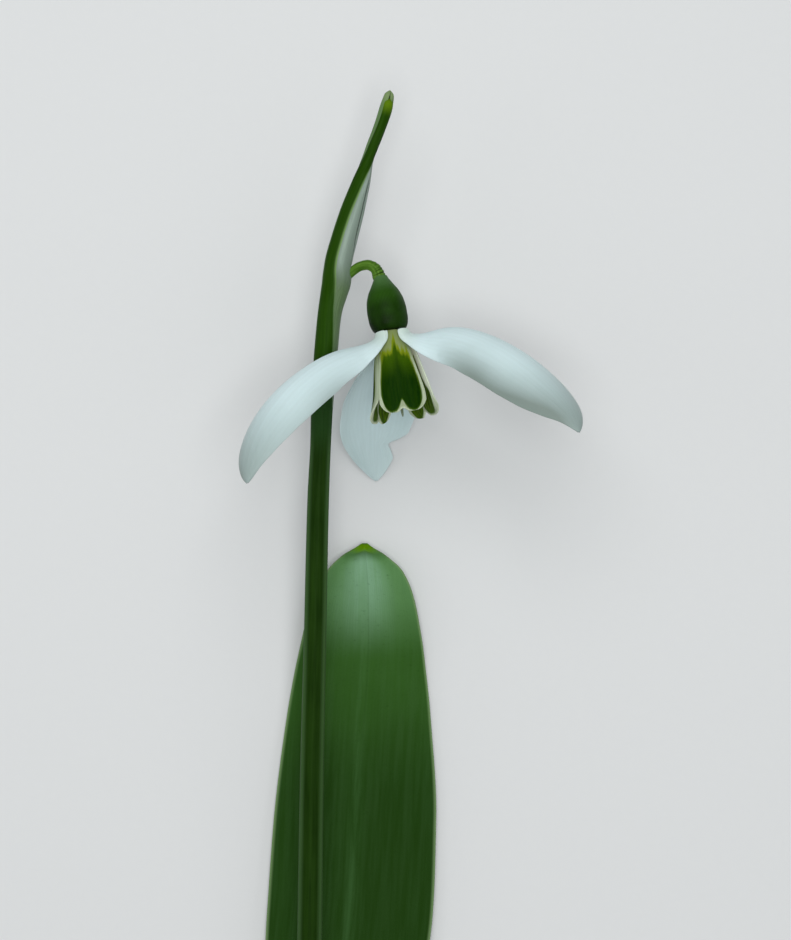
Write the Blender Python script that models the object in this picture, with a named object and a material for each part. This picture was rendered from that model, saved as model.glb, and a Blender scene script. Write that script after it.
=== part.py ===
"""A picked snowdrop lying on its back on a flat surface: Blender 4.5, metres, +Z up.

The flower stalk runs along +Y from its cut end. The leaf lies under it on the surface, and the nodding
flower hangs from its arched pedicel near the far end, with its mouth turned a little upwards. The origin is
the middle of the flat spot on the leaf's back that carries the weight. Sizes are millimetres and degrees.
"""

import math

import bmesh
import bpy
import numpy as np
from mathutils import Euler, Vector

MM = 0.001

# Fits and thicknesses
SEAT_GAP = 0.3  # between pieces that touch on the plant
PETAL_THICK = 0.6
LEAF_THICK = 0.7
SHEATH_THICK = 0.6
SPATHE_WALL = 0.6

# Flower stalk: x, y, z and radius along its axis
CUT_Y = -64.0  # the clean cut across stalk, leaf and sheath
SCAPE_TOP_Y = 57.0
SCAPE_AXIS = (
    (-5.2, CUT_Y, 3.8, 1.80),
    (-5.1, -52.0, 3.95, 1.76),
    (-4.9, -38.0, 5.1, 1.70),
    (-4.4, -10.0, 7.9, 1.60),
    (-4.05, 11.0, 9.8, 1.50),
    (-3.63, 28.0, 11.3, 1.42),
    (-3.18, 46.0, 12.9, 1.36),
    (-2.9, 52.0, 13.4, 1.28),
    (-2.7, SCAPE_TOP_Y, 13.9, 1.38),
)

# Spathe: y and x of its centre line, half-width across and half-depth front to back
SPATHE_Z = 13.9
SPATHE_AXIS = (
    (SCAPE_TOP_Y + SEAT_GAP, -2.68, 1.38, 1.38),
    (65.0, -2.13, 1.38, 1.40),
    (69.4, -1.63, 1.45, 1.45),
    (71.4, -1.28, 1.52, 1.45),
    (75.1, -0.62, 1.68, 1.40),
    (78.3, 0.08, 1.52, 1.35),
    (81.2, 0.88, 1.40, 1.25),
    (85.3, 2.14, 0.98, 1.15),
    (89.3, 3.44, 0.64, 1.05),
    (93.1, 4.79, 0.62, 0.95),
    (96.8, 5.85, 0.40, 0.70),
)
CAVITY_TOP_Y = 86.0
SLIT = ((71.2, 1.0), (72.4, 1.9), (75.2, 1.9), (77.2, 0.8), (85.6, 0.5))  # y, width
SLIT_FROM = 0.15  # beyond the centre line, towards +X

# Pedicel: from the foot of the spathe, out of its slit, over the arch and down to the ovary
PEDICEL_AXIS = (
    (-2.6, 58.0, 13.9, 0.48),
    (-2.15, 65.0, 13.9, 0.48),
    (-1.6, 69.5, 13.9, 0.50),
    (-1.0, 71.5, 13.95, 0.55),
    (0.05, 73.15, 14.1, 0.60),
    (1.1, 74.2, 14.35, 0.62),
    (2.15, 74.85, 14.65, 0.62),
    (3.0, 75.0, 14.9, 0.64),
    (3.75, 74.75, 15.05, 0.68),
    (4.2, 74.3, 15.1, 0.74),
    (4.42, 73.75, 15.1, 0.80),
)

# Flower head: its base is the underside of the ovary, and its local -Z points out of the mouth
HEAD_AT = (5.86, 66.57, 16.7)
HEAD_TILT = 12.0  # mouth turned up from the surface
HEAD_TURN = 9.0  # mouth turned towards +X
OVARY_AT, OVARY_LEAN = 0.08, 1.5  # to +X of the head's own axis, and its top's lean to -X
OVARY_FOOT = 0.35  # height of its underside
OVARY_PROFILE = (  # height, radius
    (OVARY_FOOT, 2.05),
    (0.7, 2.25),
    (1.6, 2.42),
    (2.6, 2.42),
    (3.8, 2.28),
    (5.0, 1.86),
    (6.1, 1.24),
    (6.9, 0.86),
)

# Outer petals: azimuth round the mouth (0 faces up from the surface, + towards +X), length along the midrib,
# width factors at foot and tip, cupping factor, roll about the midrib, the midrib's slope from the mouth's
# plane at shares of its length, and how much of the -X half the tucked margin takes
OUTER_FOOT = (1.95, SEAT_GAP + 0.15 - OVARY_FOOT)  # radius and depth
OUTER_PETALS = {
    "outer_petal_left": dict(
        azimuth=-67.0,
        length=28.9,
        width=(1.05, 0.93),
        cup=1.0,
        roll=22.0,
        slope=((0, 80), (0.06, 30), (0.12, 8), (0.3, 24), (0.6, 44), (0.85, 66), (1, 92)),
        tuck=0.0,
    ),
    "outer_petal_right": dict(
        azimuth=68.0,
        length=29.3,
        width=(1.15, 0.88),
        cup=1.0,
        roll=-31.0,
        slope=((0, 74), (0.06, 18), (0.12, 0), (0.3, 28), (0.6, 48), (0.85, 60), (1, 90)),
        tuck=0.0,
    ),
    "outer_petal_rear": dict(
        azimuth=-166.5,
        length=24.3,
        width=(1.25, 0.78),
        cup=0.75,
        roll=0.0,
        slope=((0, 80), (0.06, 38), (0.12, 20), (0.3, 20), (0.6, 37), (0.85, 57), (1, 80)),
        tuck=1.0,
    ),
}
OUTER_HALF_WIDTH = (  # share of the length, half-width along the curved face
    (0.0, 0.8),
    (0.05, 1.0),
    (0.12, 2.6),
    (0.25, 4.5),
    (0.42, 5.6),
    (0.58, 5.8),
    (0.72, 5.3),
    (0.85, 3.9),
    (0.94, 2.1),
    (0.985, 0.8),
    (1.0, 0.3),
)
OUTER_CUP = ((0, 30), (0.12, 62), (0.3, 66), (0.6, 62), (0.85, 52), (1, 40))  # turn from midrib to margin
OUTER_ROLL_BY = 0.15  # share of the length by which the roll is complete
# Share of the half-width that the tuck leaves, along the petal
TUCKED_MARGIN = ((0, 1), (0.62, 1), (0.71, 0.8), (0.76, 0.5), (0.8, 0.53), (0.88, 0.75), (1, 1))

# Inner petals: one shape, three times
INNER_AZIMUTHS = {"inner_petal_front": -5.0, "inner_petal_right": 122.0, "inner_petal_left": -121.0}
INNER_FOOT_DEPTH = SEAT_GAP + 0.1 - OVARY_FOOT
INNER_LENGTH = 11.0
INNER_RADIUS = (  # share of the length, radius from the flower's axis
    (0.0, 1.15),
    (0.12, 1.65),
    (0.3, 2.45),
    (0.6, 3.1),
    (0.85, 3.55),
    (1.0, 4.0),
)
INNER_SPREAD = ((0, 32), (0.15, 40), (0.35, 49), (0.7, 51), (1, 51))  # turn about the axis, midrib to margin
INNER_SINUS_DEPTH, INNER_SINUS_WIDTH = 0.6, 0.2
INNER_CORNER = 1.6  # how far the lobes' outer corners are rounded off

# What stands inside the bell
DISC_RADIUS = 0.6
DISC_THICK = 0.6
ANTHERS = 6
ANTHER_RING = 1.0  # radius from the flower's axis
ANTHER_RADIUS = 0.34
ANTHER_FOOT_RING = 0.35
# Distance from the foot, share of the radius
ANTHER_SHAPE = ((0.0, 0.4), (1.0, 0.5), (1.4, 1.0), (3.0, 1.0), (5.0, 0.62), (6.0, 0.22))
STYLE_TIP_DEPTH = 10.6
STYLE_RADIUS = 0.3
# Share of the length, share of the radius
STYLE_SHAPE = ((0, 0.85), (0.06, 1.0), (0.6, 1.0), (0.92, 0.9), (0.98, 0.7), (1, 0.4))

# Leaf: y, x of the midrib, height of the back, half-widths to -X and to +X, turn from midrib to margin
LEAF_SECTIONS = (
    (CUT_Y, -5.2, 1.0, 6.05, 6.05, 124),
    (-51.0, -5.2, 1.0, 6.05, 6.05, 124),
    (-45.0, -4.6, 0.5, 6.85, 6.85, 96),
    (-38.0, -3.75, 0.1, 7.7, 7.8, 66),
    (-30.0, -2.4, 0.0, 8.8, 9.0, 42),
    (-20.0, -0.6, 0.0, 10.15, 10.2, 26),
    (-8.0, 0.75, 0.0, 10.95, 10.75, 18),
    (4.0, 1.4, 0.0, 10.7, 10.5, 16),
    (17.4, 2.2, 0.0, 9.8, 8.95, 16),
    (23.0, 2.6, 0.0, 9.25, 8.0, 18),
    (28.0, 2.8, 0.12, 8.35, 7.15, 22),
    (33.0, 2.8, 0.4, 6.9, 6.1, 30),
    (36.2, 2.7, 0.75, 5.1, 4.6, 38),
    (38.3, 2.6, 1.15, 2.8, 2.5, 44),
    (39.3, 2.56, 1.45, 1.2, 1.1, 40),
    (39.8, 2.56, 1.65, 0.45, 0.45, 20),
)
REST_HALF_WIDTH = 3.6  # the flat strip under the midrib, which fades in and out over REST_FADE
REST_MOST = 0.45  # share of a half-width that the strip takes at most
REST_FROM_Y, REST_TO_Y, REST_FADE = -26.0, 20.0, 8.0

# Basal sheath: a tube round leaf and stalk with a slanted mouth
SHEATH_CENTRE = (-5.2, 3.8)  # x, z
SHEATH_BORE = 3.1
SHEATH_MOUTH_Y, SHEATH_SLANT = -51.5, 3.0


def eased(keys, at):
    """Reads a smooth curve through keys (rows of position, value, value...) at the positions in at.

    It is a cubic Hermite curve whose slopes never overshoot a key (Fritsch and Carlson's rule).
    """
    keys = np.array(keys, float)
    x, y = keys[:, 0], keys[:, 1:]
    gap = np.diff(x)[:, None]
    step = np.diff(y, axis=0) / gap
    slope = np.zeros_like(y)
    slope[0], slope[-1] = step[0], step[-1]
    before, after = step[:-1], step[1:]
    w_before, w_after = gap[:-1] + 2 * gap[1:], 2 * gap[:-1] + gap[1:]
    turning = before * after <= 0
    before, after = np.where(turning, 1.0, before), np.where(turning, 1.0, after)
    mean = (w_before + w_after) / (w_before / before + w_after / after)
    slope[1:-1] = np.where(turning, 0.0, mean)
    at = np.clip(np.asarray(at, float), x[0], x[-1])
    i = np.clip(np.searchsorted(x, at, side="right") - 1, 0, len(x) - 2)
    t = ((at - x[i]) / gap[i, 0])[:, None]
    start = y[i] * (1 + 2 * t) * (1 - t) ** 2 + slope[i] * gap[i] * t * (1 - t) ** 2
    end = y[i + 1] * t**2 * (3 - 2 * t) - slope[i + 1] * gap[i] * t**2 * (1 - t)
    value = start + end
    return value[:, 0] if value.shape[1] == 1 else value


def even_angles(count):
    return np.linspace(0, 2 * math.pi, count, endpoint=False)


def unit(vectors):
    return vectors / np.linalg.norm(vectors, axis=-1, keepdims=True)


def material(name, colour, roughness):
    """A Principled material of that colour; nothing on a flower is metallic."""
    made = bpy.data.materials.new(name)
    made.use_nodes = True
    shader = made.node_tree.nodes["Principled BSDF"]
    shader.inputs["Base Color"].default_value = (*colour, 1)
    shader.inputs["Roughness"].default_value = roughness
    shader.inputs["Metallic"].default_value = 0
    return made


def add_object(name, points, faces, finish, parent=None):
    """Links a smooth-shaded mesh object whose points are in millimetres."""
    mesh = bpy.data.meshes.new(name)
    mesh.from_pydata([Vector(p) * MM for p in points], [], faces)
    clean = bmesh.new()
    clean.from_mesh(mesh)
    bmesh.ops.remove_doubles(clean, verts=clean.verts, dist=0.001 * MM)
    bmesh.ops.recalc_face_normals(clean, faces=clean.faces)
    clean.to_mesh(mesh)
    clean.free()
    mesh.shade_smooth()
    mesh.set_sharp_from_angle(angle=math.radians(40))
    mesh.materials.append(finish)
    obj = bpy.data.objects.new(name, mesh)
    bpy.context.scene.collection.objects.link(obj)
    obj.parent = parent
    return obj


def add_sheet(name, grid, thick, finish, parent=None, offset=0.0):
    """A sheet of even thickness on a grid of points: offset 0 thickens it both ways, -1 to its faces' backs."""
    rows, cols = grid.shape[:2]
    corners = np.arange(rows * cols).reshape(rows, cols)
    quads = np.stack([corners[:-1, :-1], corners[:-1, 1:], corners[1:, 1:], corners[1:, :-1]], axis=2)
    obj = add_object(name, grid.reshape(-1, 3), quads.reshape(-1, 4).tolist(), finish, parent)
    solidify = obj.modifiers.new("thickness", "SOLIDIFY")
    solidify.thickness = thick * MM
    solidify.offset = offset
    solidify.use_even_offset = True
    return obj


def loft(name, rings, finish, parent=None, ring_shut=False):
    """A closed solid through rings of equally many points, with flat ends or its last ring on its first."""
    count, sides = rings.shape[:2]
    corners = np.arange(count * sides).reshape(count, sides)
    here = corners if ring_shut else corners[:-1]
    there = np.roll(corners, -1, axis=0)[: len(here)]
    quads = np.stack([here, np.roll(here, -1, axis=1), np.roll(there, -1, axis=1), there], axis=2)
    faces = quads.reshape(-1, 4).tolist()
    if not ring_shut:
        faces += [corners[0].tolist(), corners[-1].tolist()]
    return add_object(name, rings.reshape(-1, 3), faces, finish, parent)


def rod(name, axis, rows, sides, finish):
    """A round rod along rows of x, y, z and radius, its rings square to its path."""
    axis = np.array(axis, float)
    run = np.concatenate([[0], np.cumsum(np.linalg.norm(np.diff(axis[:, :3], axis=0), axis=1))])
    stations = eased(np.column_stack([run, axis]), np.linspace(0, run[-1], rows))
    centre, radius = stations[:, :3], stations[:, 3]
    tangent = unit(np.gradient(centre, axis=0))
    across = unit(np.cross(tangent, (0.0, 0.0, 1.0)))
    up = np.cross(across, tangent)
    turn = even_angles(sides)[None, :, None]
    spoke = np.cos(turn) * across[:, None, :] + np.sin(turn) * up[:, None, :]
    return loft(name, centre[:, None, :] + radius[:, None, None] * spoke, finish)


def turned(name, depth, radius, sides, finish, parent, centre=(0.0, 0.0)):
    """A solid turned about the flower's axis, or about an axis beside it: radii at depths below the ovary."""
    turn = even_angles(sides)
    centre = np.broadcast_to(np.array(centre, float), (len(depth), 2))
    radius = np.asarray(radius, float)[:, None]
    x = centre[:, :1] + radius * np.cos(turn)
    y = centre[:, 1:] + radius * np.sin(turn)
    z = np.repeat(-np.asarray(depth, float)[:, None], sides, axis=1)
    return loft(name, np.stack([x, y, z], axis=2), finish, parent)


def apply_boolean(obj, operation, others):
    """Cuts the others from an object, or joins them to it, and removes them."""
    for other in others:
        boolean = obj.modifiers.new("boolean", "BOOLEAN")
        boolean.operation = operation
        boolean.object = other
        bpy.context.view_layer.objects.active = obj
        bpy.ops.object.modifier_apply(modifier=boolean.name)
        bpy.data.objects.remove(other)


def spathe_rings(y_from, y_to, rows, sides, inset):
    """Elliptical rings of the spathe drawn in from its outside by inset, square to its centre line."""
    y = np.linspace(y_from, y_to, rows)
    x, half_width, half_depth = eased(SPATHE_AXIS, y).T
    centre = np.column_stack([x, y, np.full(rows, SPATHE_Z)])
    tangent = unit(np.gradient(centre, axis=0))
    across = np.column_stack([tangent[:, 1], -tangent[:, 0], np.zeros(rows)])
    turn = even_angles(sides)[None, :, None]
    sideways = (half_width - inset)[:, None, None] * np.cos(turn) * across[:, None, :]
    upwards = (half_depth - inset)[:, None, None] * np.sin(turn) * np.array((0.0, 0.0, 1.0))
    return centre[:, None, :] + sideways + upwards


def make_spathe(finish):
    """Two keels and the membrane between them: a tube round the pedicel, slit on +X, solid at its tip."""
    foot_y, tip_y = SPATHE_AXIS[0][0], SPATHE_AXIS[-1][0]
    spathe = loft("spathe", spathe_rings(foot_y, tip_y, 24, 16, 0.0), finish)
    cavity = loft("cavity", spathe_rings(foot_y - 1.0, CAVITY_TOP_Y, 14, 12, SPATHE_WALL), finish)
    y, width = np.array(SLIT).T
    centre = eased(SPATHE_AXIS, y)[:, 0]
    corners = ((SLIT_FROM, -1), (4.0, -1), (4.0, 1), (SLIT_FROM, 1))
    edges = [np.column_stack([centre + reach, y, SPATHE_Z + side * width / 2]) for reach, side in corners]
    slit = loft("slit", np.stack(edges, axis=1), finish)
    apply_boolean(spathe, "DIFFERENCE", (cavity, slit))


def make_ovary(finish, head):
    height = np.linspace(OVARY_FOOT, OVARY_PROFILE[-1][0], 14)
    ovary = turned("ovary", -height, eased(OVARY_PROFILE, height), 20, finish, head)
    ovary.location = Vector((OVARY_AT, 0, 0)) * MM
    ovary.rotation_euler = Euler((0, -math.radians(OVARY_LEAN), 0))


def outer_petal_grid(petal, rows, cols):
    """Middle surface of an outer petal that leaves the flower towards local -Y.

    The midrib is its slope added up along its length. Each cross-section is an arc that turns inwards by the
    cupping angle between midrib and margin, rolled about the midrib.
    """
    share = np.linspace(0, 1, rows)
    share = share - 0.04 * np.sin(2 * math.pi * share)  # closer rows at the foot and the tip
    slope = np.radians(eased(petal["slope"], share))
    run = np.diff(share) * petal["length"]
    middle = (slope[1:] + slope[:-1]) / 2
    out = OUTER_FOOT[0] + np.concatenate([[0], np.cumsum(run * np.cos(middle))])
    down = OUTER_FOOT[1] + np.concatenate([[0], np.cumsum(run * np.sin(middle))])
    foot_factor, tip_factor = petal["width"]
    half_width = (foot_factor + (tip_factor - foot_factor) * share) * eased(OUTER_HALF_WIDTH, share)
    cup = petal["cup"] * np.radians(eased(OUTER_CUP, share))[:, None]
    u = np.linspace(-1, 1, cols)
    tucked = 1 - petal["tuck"] * (1 - eased(TUCKED_MARGIN, share))
    turn = cup * u * np.where(u < 0, tucked[:, None], 1.0)
    across = half_width[:, None] / cup * np.sin(turn)
    sag = half_width[:, None] / cup * (1 - np.cos(turn))
    roll = math.radians(petal["roll"]) * np.clip(share / OUTER_ROLL_BY, 0, 1)[:, None]
    side = across * np.cos(roll) - sag * np.sin(roll)
    inward = across * np.sin(roll) + sag * np.cos(roll)
    out = out[:, None] - inward * np.sin(slope)[:, None]
    down = down[:, None] + inward * np.cos(slope)[:, None]
    return np.stack([side, -out, -down], axis=2)


def make_outer_petals(finish, head):
    for name, petal in OUTER_PETALS.items():
        made = add_sheet(name, outer_petal_grid(petal, 20, 11), PETAL_THICK, finish, head)
        made.rotation_euler = Euler((0, 0, math.radians(petal["azimuth"])))


def inner_petal_grid(rows, cols):
    """Middle surface of an inner petal, wrapped round the flower's axis, its end two rounded lobes."""
    u = np.linspace(-1, 1, cols)
    sinus = INNER_SINUS_DEPTH * np.exp(-((u / INNER_SINUS_WIDTH) ** 2))
    length = INNER_LENGTH - sinus - INNER_CORNER * np.abs(u) ** 5
    run = np.linspace(0, 1, rows)[:, None] * length
    share = (run / INNER_LENGTH).ravel()
    radius = eased(INNER_RADIUS, share).reshape(run.shape)
    turn = np.radians(eased(INNER_SPREAD, share)).reshape(run.shape) * u
    return np.stack([radius * np.sin(turn), -radius * np.cos(turn), -INNER_FOOT_DEPTH - run], axis=2)


def make_inner_petals(finish, head):
    for name, azimuth in INNER_AZIMUTHS.items():
        made = add_sheet(name, inner_petal_grid(12, 13), PETAL_THICK, finish, head)
        made.rotation_euler = Euler((0, 0, math.radians(azimuth)))


def make_stamens(finish, head):
    """Six pointed anthers in a ring round the style, on the small disc between the petals' feet."""
    disc_from = SEAT_GAP - OVARY_FOOT
    disc = turned("stamens", (disc_from, disc_from + DISC_THICK), (DISC_RADIUS,) * 2, 16, finish, head)
    run, share = np.array(ANTHER_SHAPE).T
    ring = ANTHER_FOOT_RING + (ANTHER_RING - ANTHER_FOOT_RING) * np.clip(run / run[2], 0, 1)
    anthers = []
    for i in range(ANTHERS):
        angle = 2 * math.pi * (i + 0.5) / ANTHERS
        centre = np.column_stack([ring * math.cos(angle), ring * math.sin(angle)])
        depth = disc_from + DISC_THICK / 2 + run
        anthers.append(turned(f"anther_{i}", depth, ANTHER_RADIUS * share, 7, finish, head, centre))
    bpy.context.view_layer.update()
    apply_boolean(disc, "UNION", anthers)


def make_style(finish, head):
    """The style, whose pointed tip stands just out of the bell."""
    start = SEAT_GAP - OVARY_FOOT + DISC_THICK + SEAT_GAP
    share, radius = np.array(STYLE_SHAPE).T
    turned("style", start + (STYLE_TIP_DEPTH - start) * share, STYLE_RADIUS * radius, 8, finish, head)


def leaf_grid(rows, side_cols):
    """Back surface of the leaf in sections square to Y, each turning from its midrib to its margins.

    At the cut the section is an arc that clasps the stalk. Over the rest spot a strip each side of the midrib
    stays flat on the surface, and only the margins turn up.
    """
    y_from, y_to = LEAF_SECTIONS[0][0], LEAF_SECTIONS[-1][0]
    y = y_from + (y_to - y_from) * np.sin(np.linspace(0, math.pi / 2, rows)) ** 0.9  # closer rows at the tip
    x, back, left, right, turn = eased(LEAF_SECTIONS, y).T
    inside = np.clip(np.minimum(y - REST_FROM_Y, REST_TO_Y - y) / REST_FADE + 1, 0, 1)
    strip = REST_HALF_WIDTH * inside**2 * (3 - 2 * inside)
    sides = []
    for sign, width in ((-1, left), (1, right)):
        flat = np.minimum(strip, width * REST_MOST)[:, None]
        s = width[:, None] * np.linspace(0, 1, side_cols + 1)
        rate = np.radians(turn)[:, None] / (width[:, None] - flat)
        bend = rate * np.clip(s - flat, 0, None)
        across = x[:, None] + sign * (np.minimum(s, flat) + np.sin(bend) / rate)
        height = back[:, None] + (1 - np.cos(bend)) / rate
        sides.append(np.stack([across, np.repeat(y[:, None], side_cols + 1, axis=1), height], axis=2))
    return np.concatenate([sides[0][:, :0:-1], sides[1]], axis=1)


def make_sheath(finish):
    turn = even_angles(24)
    mouth = SHEATH_MOUTH_Y - SHEATH_SLANT * (1 + np.sin(turn)) / 2
    share = np.linspace(0, 1, 4)[:, None]
    y = CUT_Y + (mouth - CUT_Y) * share
    walls = []
    for radius in (SHEATH_BORE + SHEATH_THICK, SHEATH_BORE):
        x = SHEATH_CENTRE[0] + radius * np.cos(turn) + 0 * share
        z = SHEATH_CENTRE[1] + radius * np.sin(turn) + 0 * share
        walls.append(np.stack([x, y, z], axis=2))
    loft("basal_sheath", np.concatenate([walls[0], walls[1][::-1]]), finish, ring_shut=True)


def main():
    for obj in list(bpy.data.objects):
        bpy.data.objects.remove(obj)

    stalk_green = material("stalk_green", (0.06, 0.17, 0.04), 0.5)
    spathe_green = material("spathe_green", (0.16, 0.33, 0.06), 0.45)
    pedicel_green = material("pedicel_green", (0.13, 0.3, 0.05), 0.45)
    ovary_green = material("ovary_green", (0.05, 0.2, 0.05), 0.55)
    petal_white = material("petal_white", (0.82, 0.86, 0.85), 0.5)
    anther_orange = material("anther_orange", (0.85, 0.5, 0.1), 0.6)
    style_green = material("style_green", (0.6, 0.7, 0.4), 0.5)
    leaf_green = material("leaf_green", (0.06, 0.18, 0.06), 0.5)
    sheath_pale = material("sheath_pale", (0.75, 0.76, 0.6), 0.6)

    head = bpy.data.objects.new("flower_head", None)
    bpy.context.scene.collection.objects.link(head)
    head.location = Vector(HEAD_AT) * MM
    head.rotation_euler = Euler((math.radians(-90 - HEAD_TILT), 0, math.radians(HEAD_TURN)))

    rod("scape", SCAPE_AXIS, rows=20, sides=16, finish=stalk_green)
    make_spathe(spathe_green)
    rod("pedicel", PEDICEL_AXIS, rows=26, sides=12, finish=pedicel_green)
    make_ovary(ovary_green, head)
    make_outer_petals(petal_white, head)
    make_inner_petals(petal_white, head)
    make_stamens(anther_orange, head)
    make_style(style_green, head)
    add_sheet("leaf", leaf_grid(30, 6), LEAF_THICK, leaf_green, offset=-1.0)
    make_sheath(sheath_pale)


main()
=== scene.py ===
"""The looks of a picked snowdrop that lies on its back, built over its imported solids: Blender 4.5, +Z up.

Each piece is a closed surface worked out in millimetres as whole numpy arrays. Its points are a function of
two parameters on a grid, one along the organ and one across or round it. Every point also carries its place
on the organ laid out straight, which the finishes read, so fibres and veins follow the organ without a seam.
"""

import logging
import math
from dataclasses import dataclass, field
from enum import Enum

import bpy
import numpy as np
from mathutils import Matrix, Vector


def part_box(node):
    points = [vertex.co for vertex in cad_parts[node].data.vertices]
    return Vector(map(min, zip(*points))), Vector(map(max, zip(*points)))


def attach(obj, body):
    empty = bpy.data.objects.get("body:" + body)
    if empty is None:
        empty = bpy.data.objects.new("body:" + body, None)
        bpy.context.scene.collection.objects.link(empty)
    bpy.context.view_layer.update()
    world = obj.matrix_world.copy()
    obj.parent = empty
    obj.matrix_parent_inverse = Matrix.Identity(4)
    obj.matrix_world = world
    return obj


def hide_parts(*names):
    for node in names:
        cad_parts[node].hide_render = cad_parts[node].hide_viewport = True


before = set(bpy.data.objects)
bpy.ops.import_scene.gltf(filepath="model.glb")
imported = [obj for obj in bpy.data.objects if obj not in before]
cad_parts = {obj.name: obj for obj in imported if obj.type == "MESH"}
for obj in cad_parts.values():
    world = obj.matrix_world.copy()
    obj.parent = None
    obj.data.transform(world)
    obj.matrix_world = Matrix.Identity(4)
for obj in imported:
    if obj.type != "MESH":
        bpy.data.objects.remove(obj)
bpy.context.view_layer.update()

MM = 0.001
BODY = "root"
LOG = logging.getLogger("snowdrop")

Keys = tuple[tuple[float, ...], ...]
Colour = tuple[float, float, float]


# ---------------------------------------------------------------- curves and numbers


def eased(keys: Keys, at: np.ndarray) -> np.ndarray:
    """Reads a smooth curve through keys.

    Between two keys it is a cubic Hermite curve, and the slope at a key is the weighted harmonic mean of the
    slopes beside it, or zero where they turn (Fritsch and Carlson's rule), so it never overshoots a key.

    Args:
        keys: rows of position, value, value...
        at: positions to read it at.

    Returns:
        One value a position, or one row of values a position.
    """
    table = np.array(keys, float)
    x, y = table[:, 0], table[:, 1:]
    gap = np.diff(x)[:, None]
    step = np.diff(y, axis=0) / gap
    slope = np.zeros_like(y)
    slope[0], slope[-1] = step[0], step[-1]
    before, after = step[:-1], step[1:]
    w_before, w_after = gap[:-1] + 2 * gap[1:], 2 * gap[:-1] + gap[1:]
    turning = before * after <= 0
    before, after = np.where(turning, 1.0, before), np.where(turning, 1.0, after)
    slope[1:-1] = np.where(turning, 0.0, (w_before + w_after) / (w_before / before + w_after / after))
    at = np.asarray(at, float)
    flat = np.clip(at.ravel(), x[0], x[-1])
    i = np.clip(np.searchsorted(x, flat, side="right") - 1, 0, len(x) - 2)
    t = ((flat - x[i]) / gap[i, 0])[:, None]
    start = y[i] * (1 + 2 * t) * (1 - t) ** 2 + slope[i] * gap[i] * t * (1 - t) ** 2
    end = y[i + 1] * t**2 * (3 - 2 * t) - slope[i + 1] * gap[i] * t**2 * (1 - t)
    value = start + end
    return value[:, 0].reshape(at.shape) if value.shape[1] == 1 else value.reshape(*at.shape, -1)


def soft_step(low: float, high: float, value: np.ndarray) -> np.ndarray:
    """Rises from 0 at low to 1 at high as 3t² - 2t³."""
    t = np.clip((value - low) / (high - low), 0, 1)
    return t * t * (3 - 2 * t)


def unit(vectors: np.ndarray) -> np.ndarray:
    """Vectors of length one along the last axis."""
    return vectors / np.maximum(np.linalg.norm(vectors, axis=-1, keepdims=True), 1e-9)


def turns(count: int) -> np.ndarray:
    """Evenly spaced angles of one full turn, without its end."""
    return np.linspace(0, 2 * math.pi, count, endpoint=False)


def even_to_edges(count: int) -> np.ndarray:
    """From -1 to 1, closer together towards both ends: the sine of even angles."""
    return np.sin(np.linspace(-math.pi / 2, math.pi / 2, count))


def added_up(steps: np.ndarray) -> np.ndarray:
    """Sums that start at zero and grow by one step each."""
    return np.concatenate([[0], np.cumsum(steps)])


def distances(path: np.ndarray) -> np.ndarray:
    """The distance run along a path at each of its points."""
    return added_up(np.linalg.norm(np.diff(path, axis=0), axis=1))


def stacked(*parts: object) -> np.ndarray:
    """Coordinates side by side as a last axis, each spread over the grid that they share."""
    return np.stack(np.broadcast_arrays(*parts), axis=-1)


def spin(degrees: float, axis: int) -> np.ndarray:
    """The matrix that turns points about one axis: 0 is x, 1 is y and 2 is z."""
    cosine, sine = math.cos(math.radians(degrees)), math.sin(math.radians(degrees))
    first, second = (axis + 1) % 3, (axis + 2) % 3
    matrix = np.eye(3)
    matrix[first, first] = matrix[second, second] = cosine
    matrix[first, second], matrix[second, first] = -sine, sine
    return matrix


def box(node: str) -> tuple[np.ndarray, np.ndarray]:
    """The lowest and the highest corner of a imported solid, in millimetres."""
    low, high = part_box(node)
    return np.array(low) / MM, np.array(high) / MM


def paint(red: int, green: int, blue: int) -> Colour:
    """A display colour of 0 to 255 as the linear values that shaders read."""
    share = np.array((red, green, blue)) / 255
    linear = np.where(share <= 0.04045, share / 12.92, ((share + 0.055) / 1.055) ** 2.4)
    return tuple(float(v) for v in linear)


# ---------------------------------------------------------------- surfaces


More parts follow.
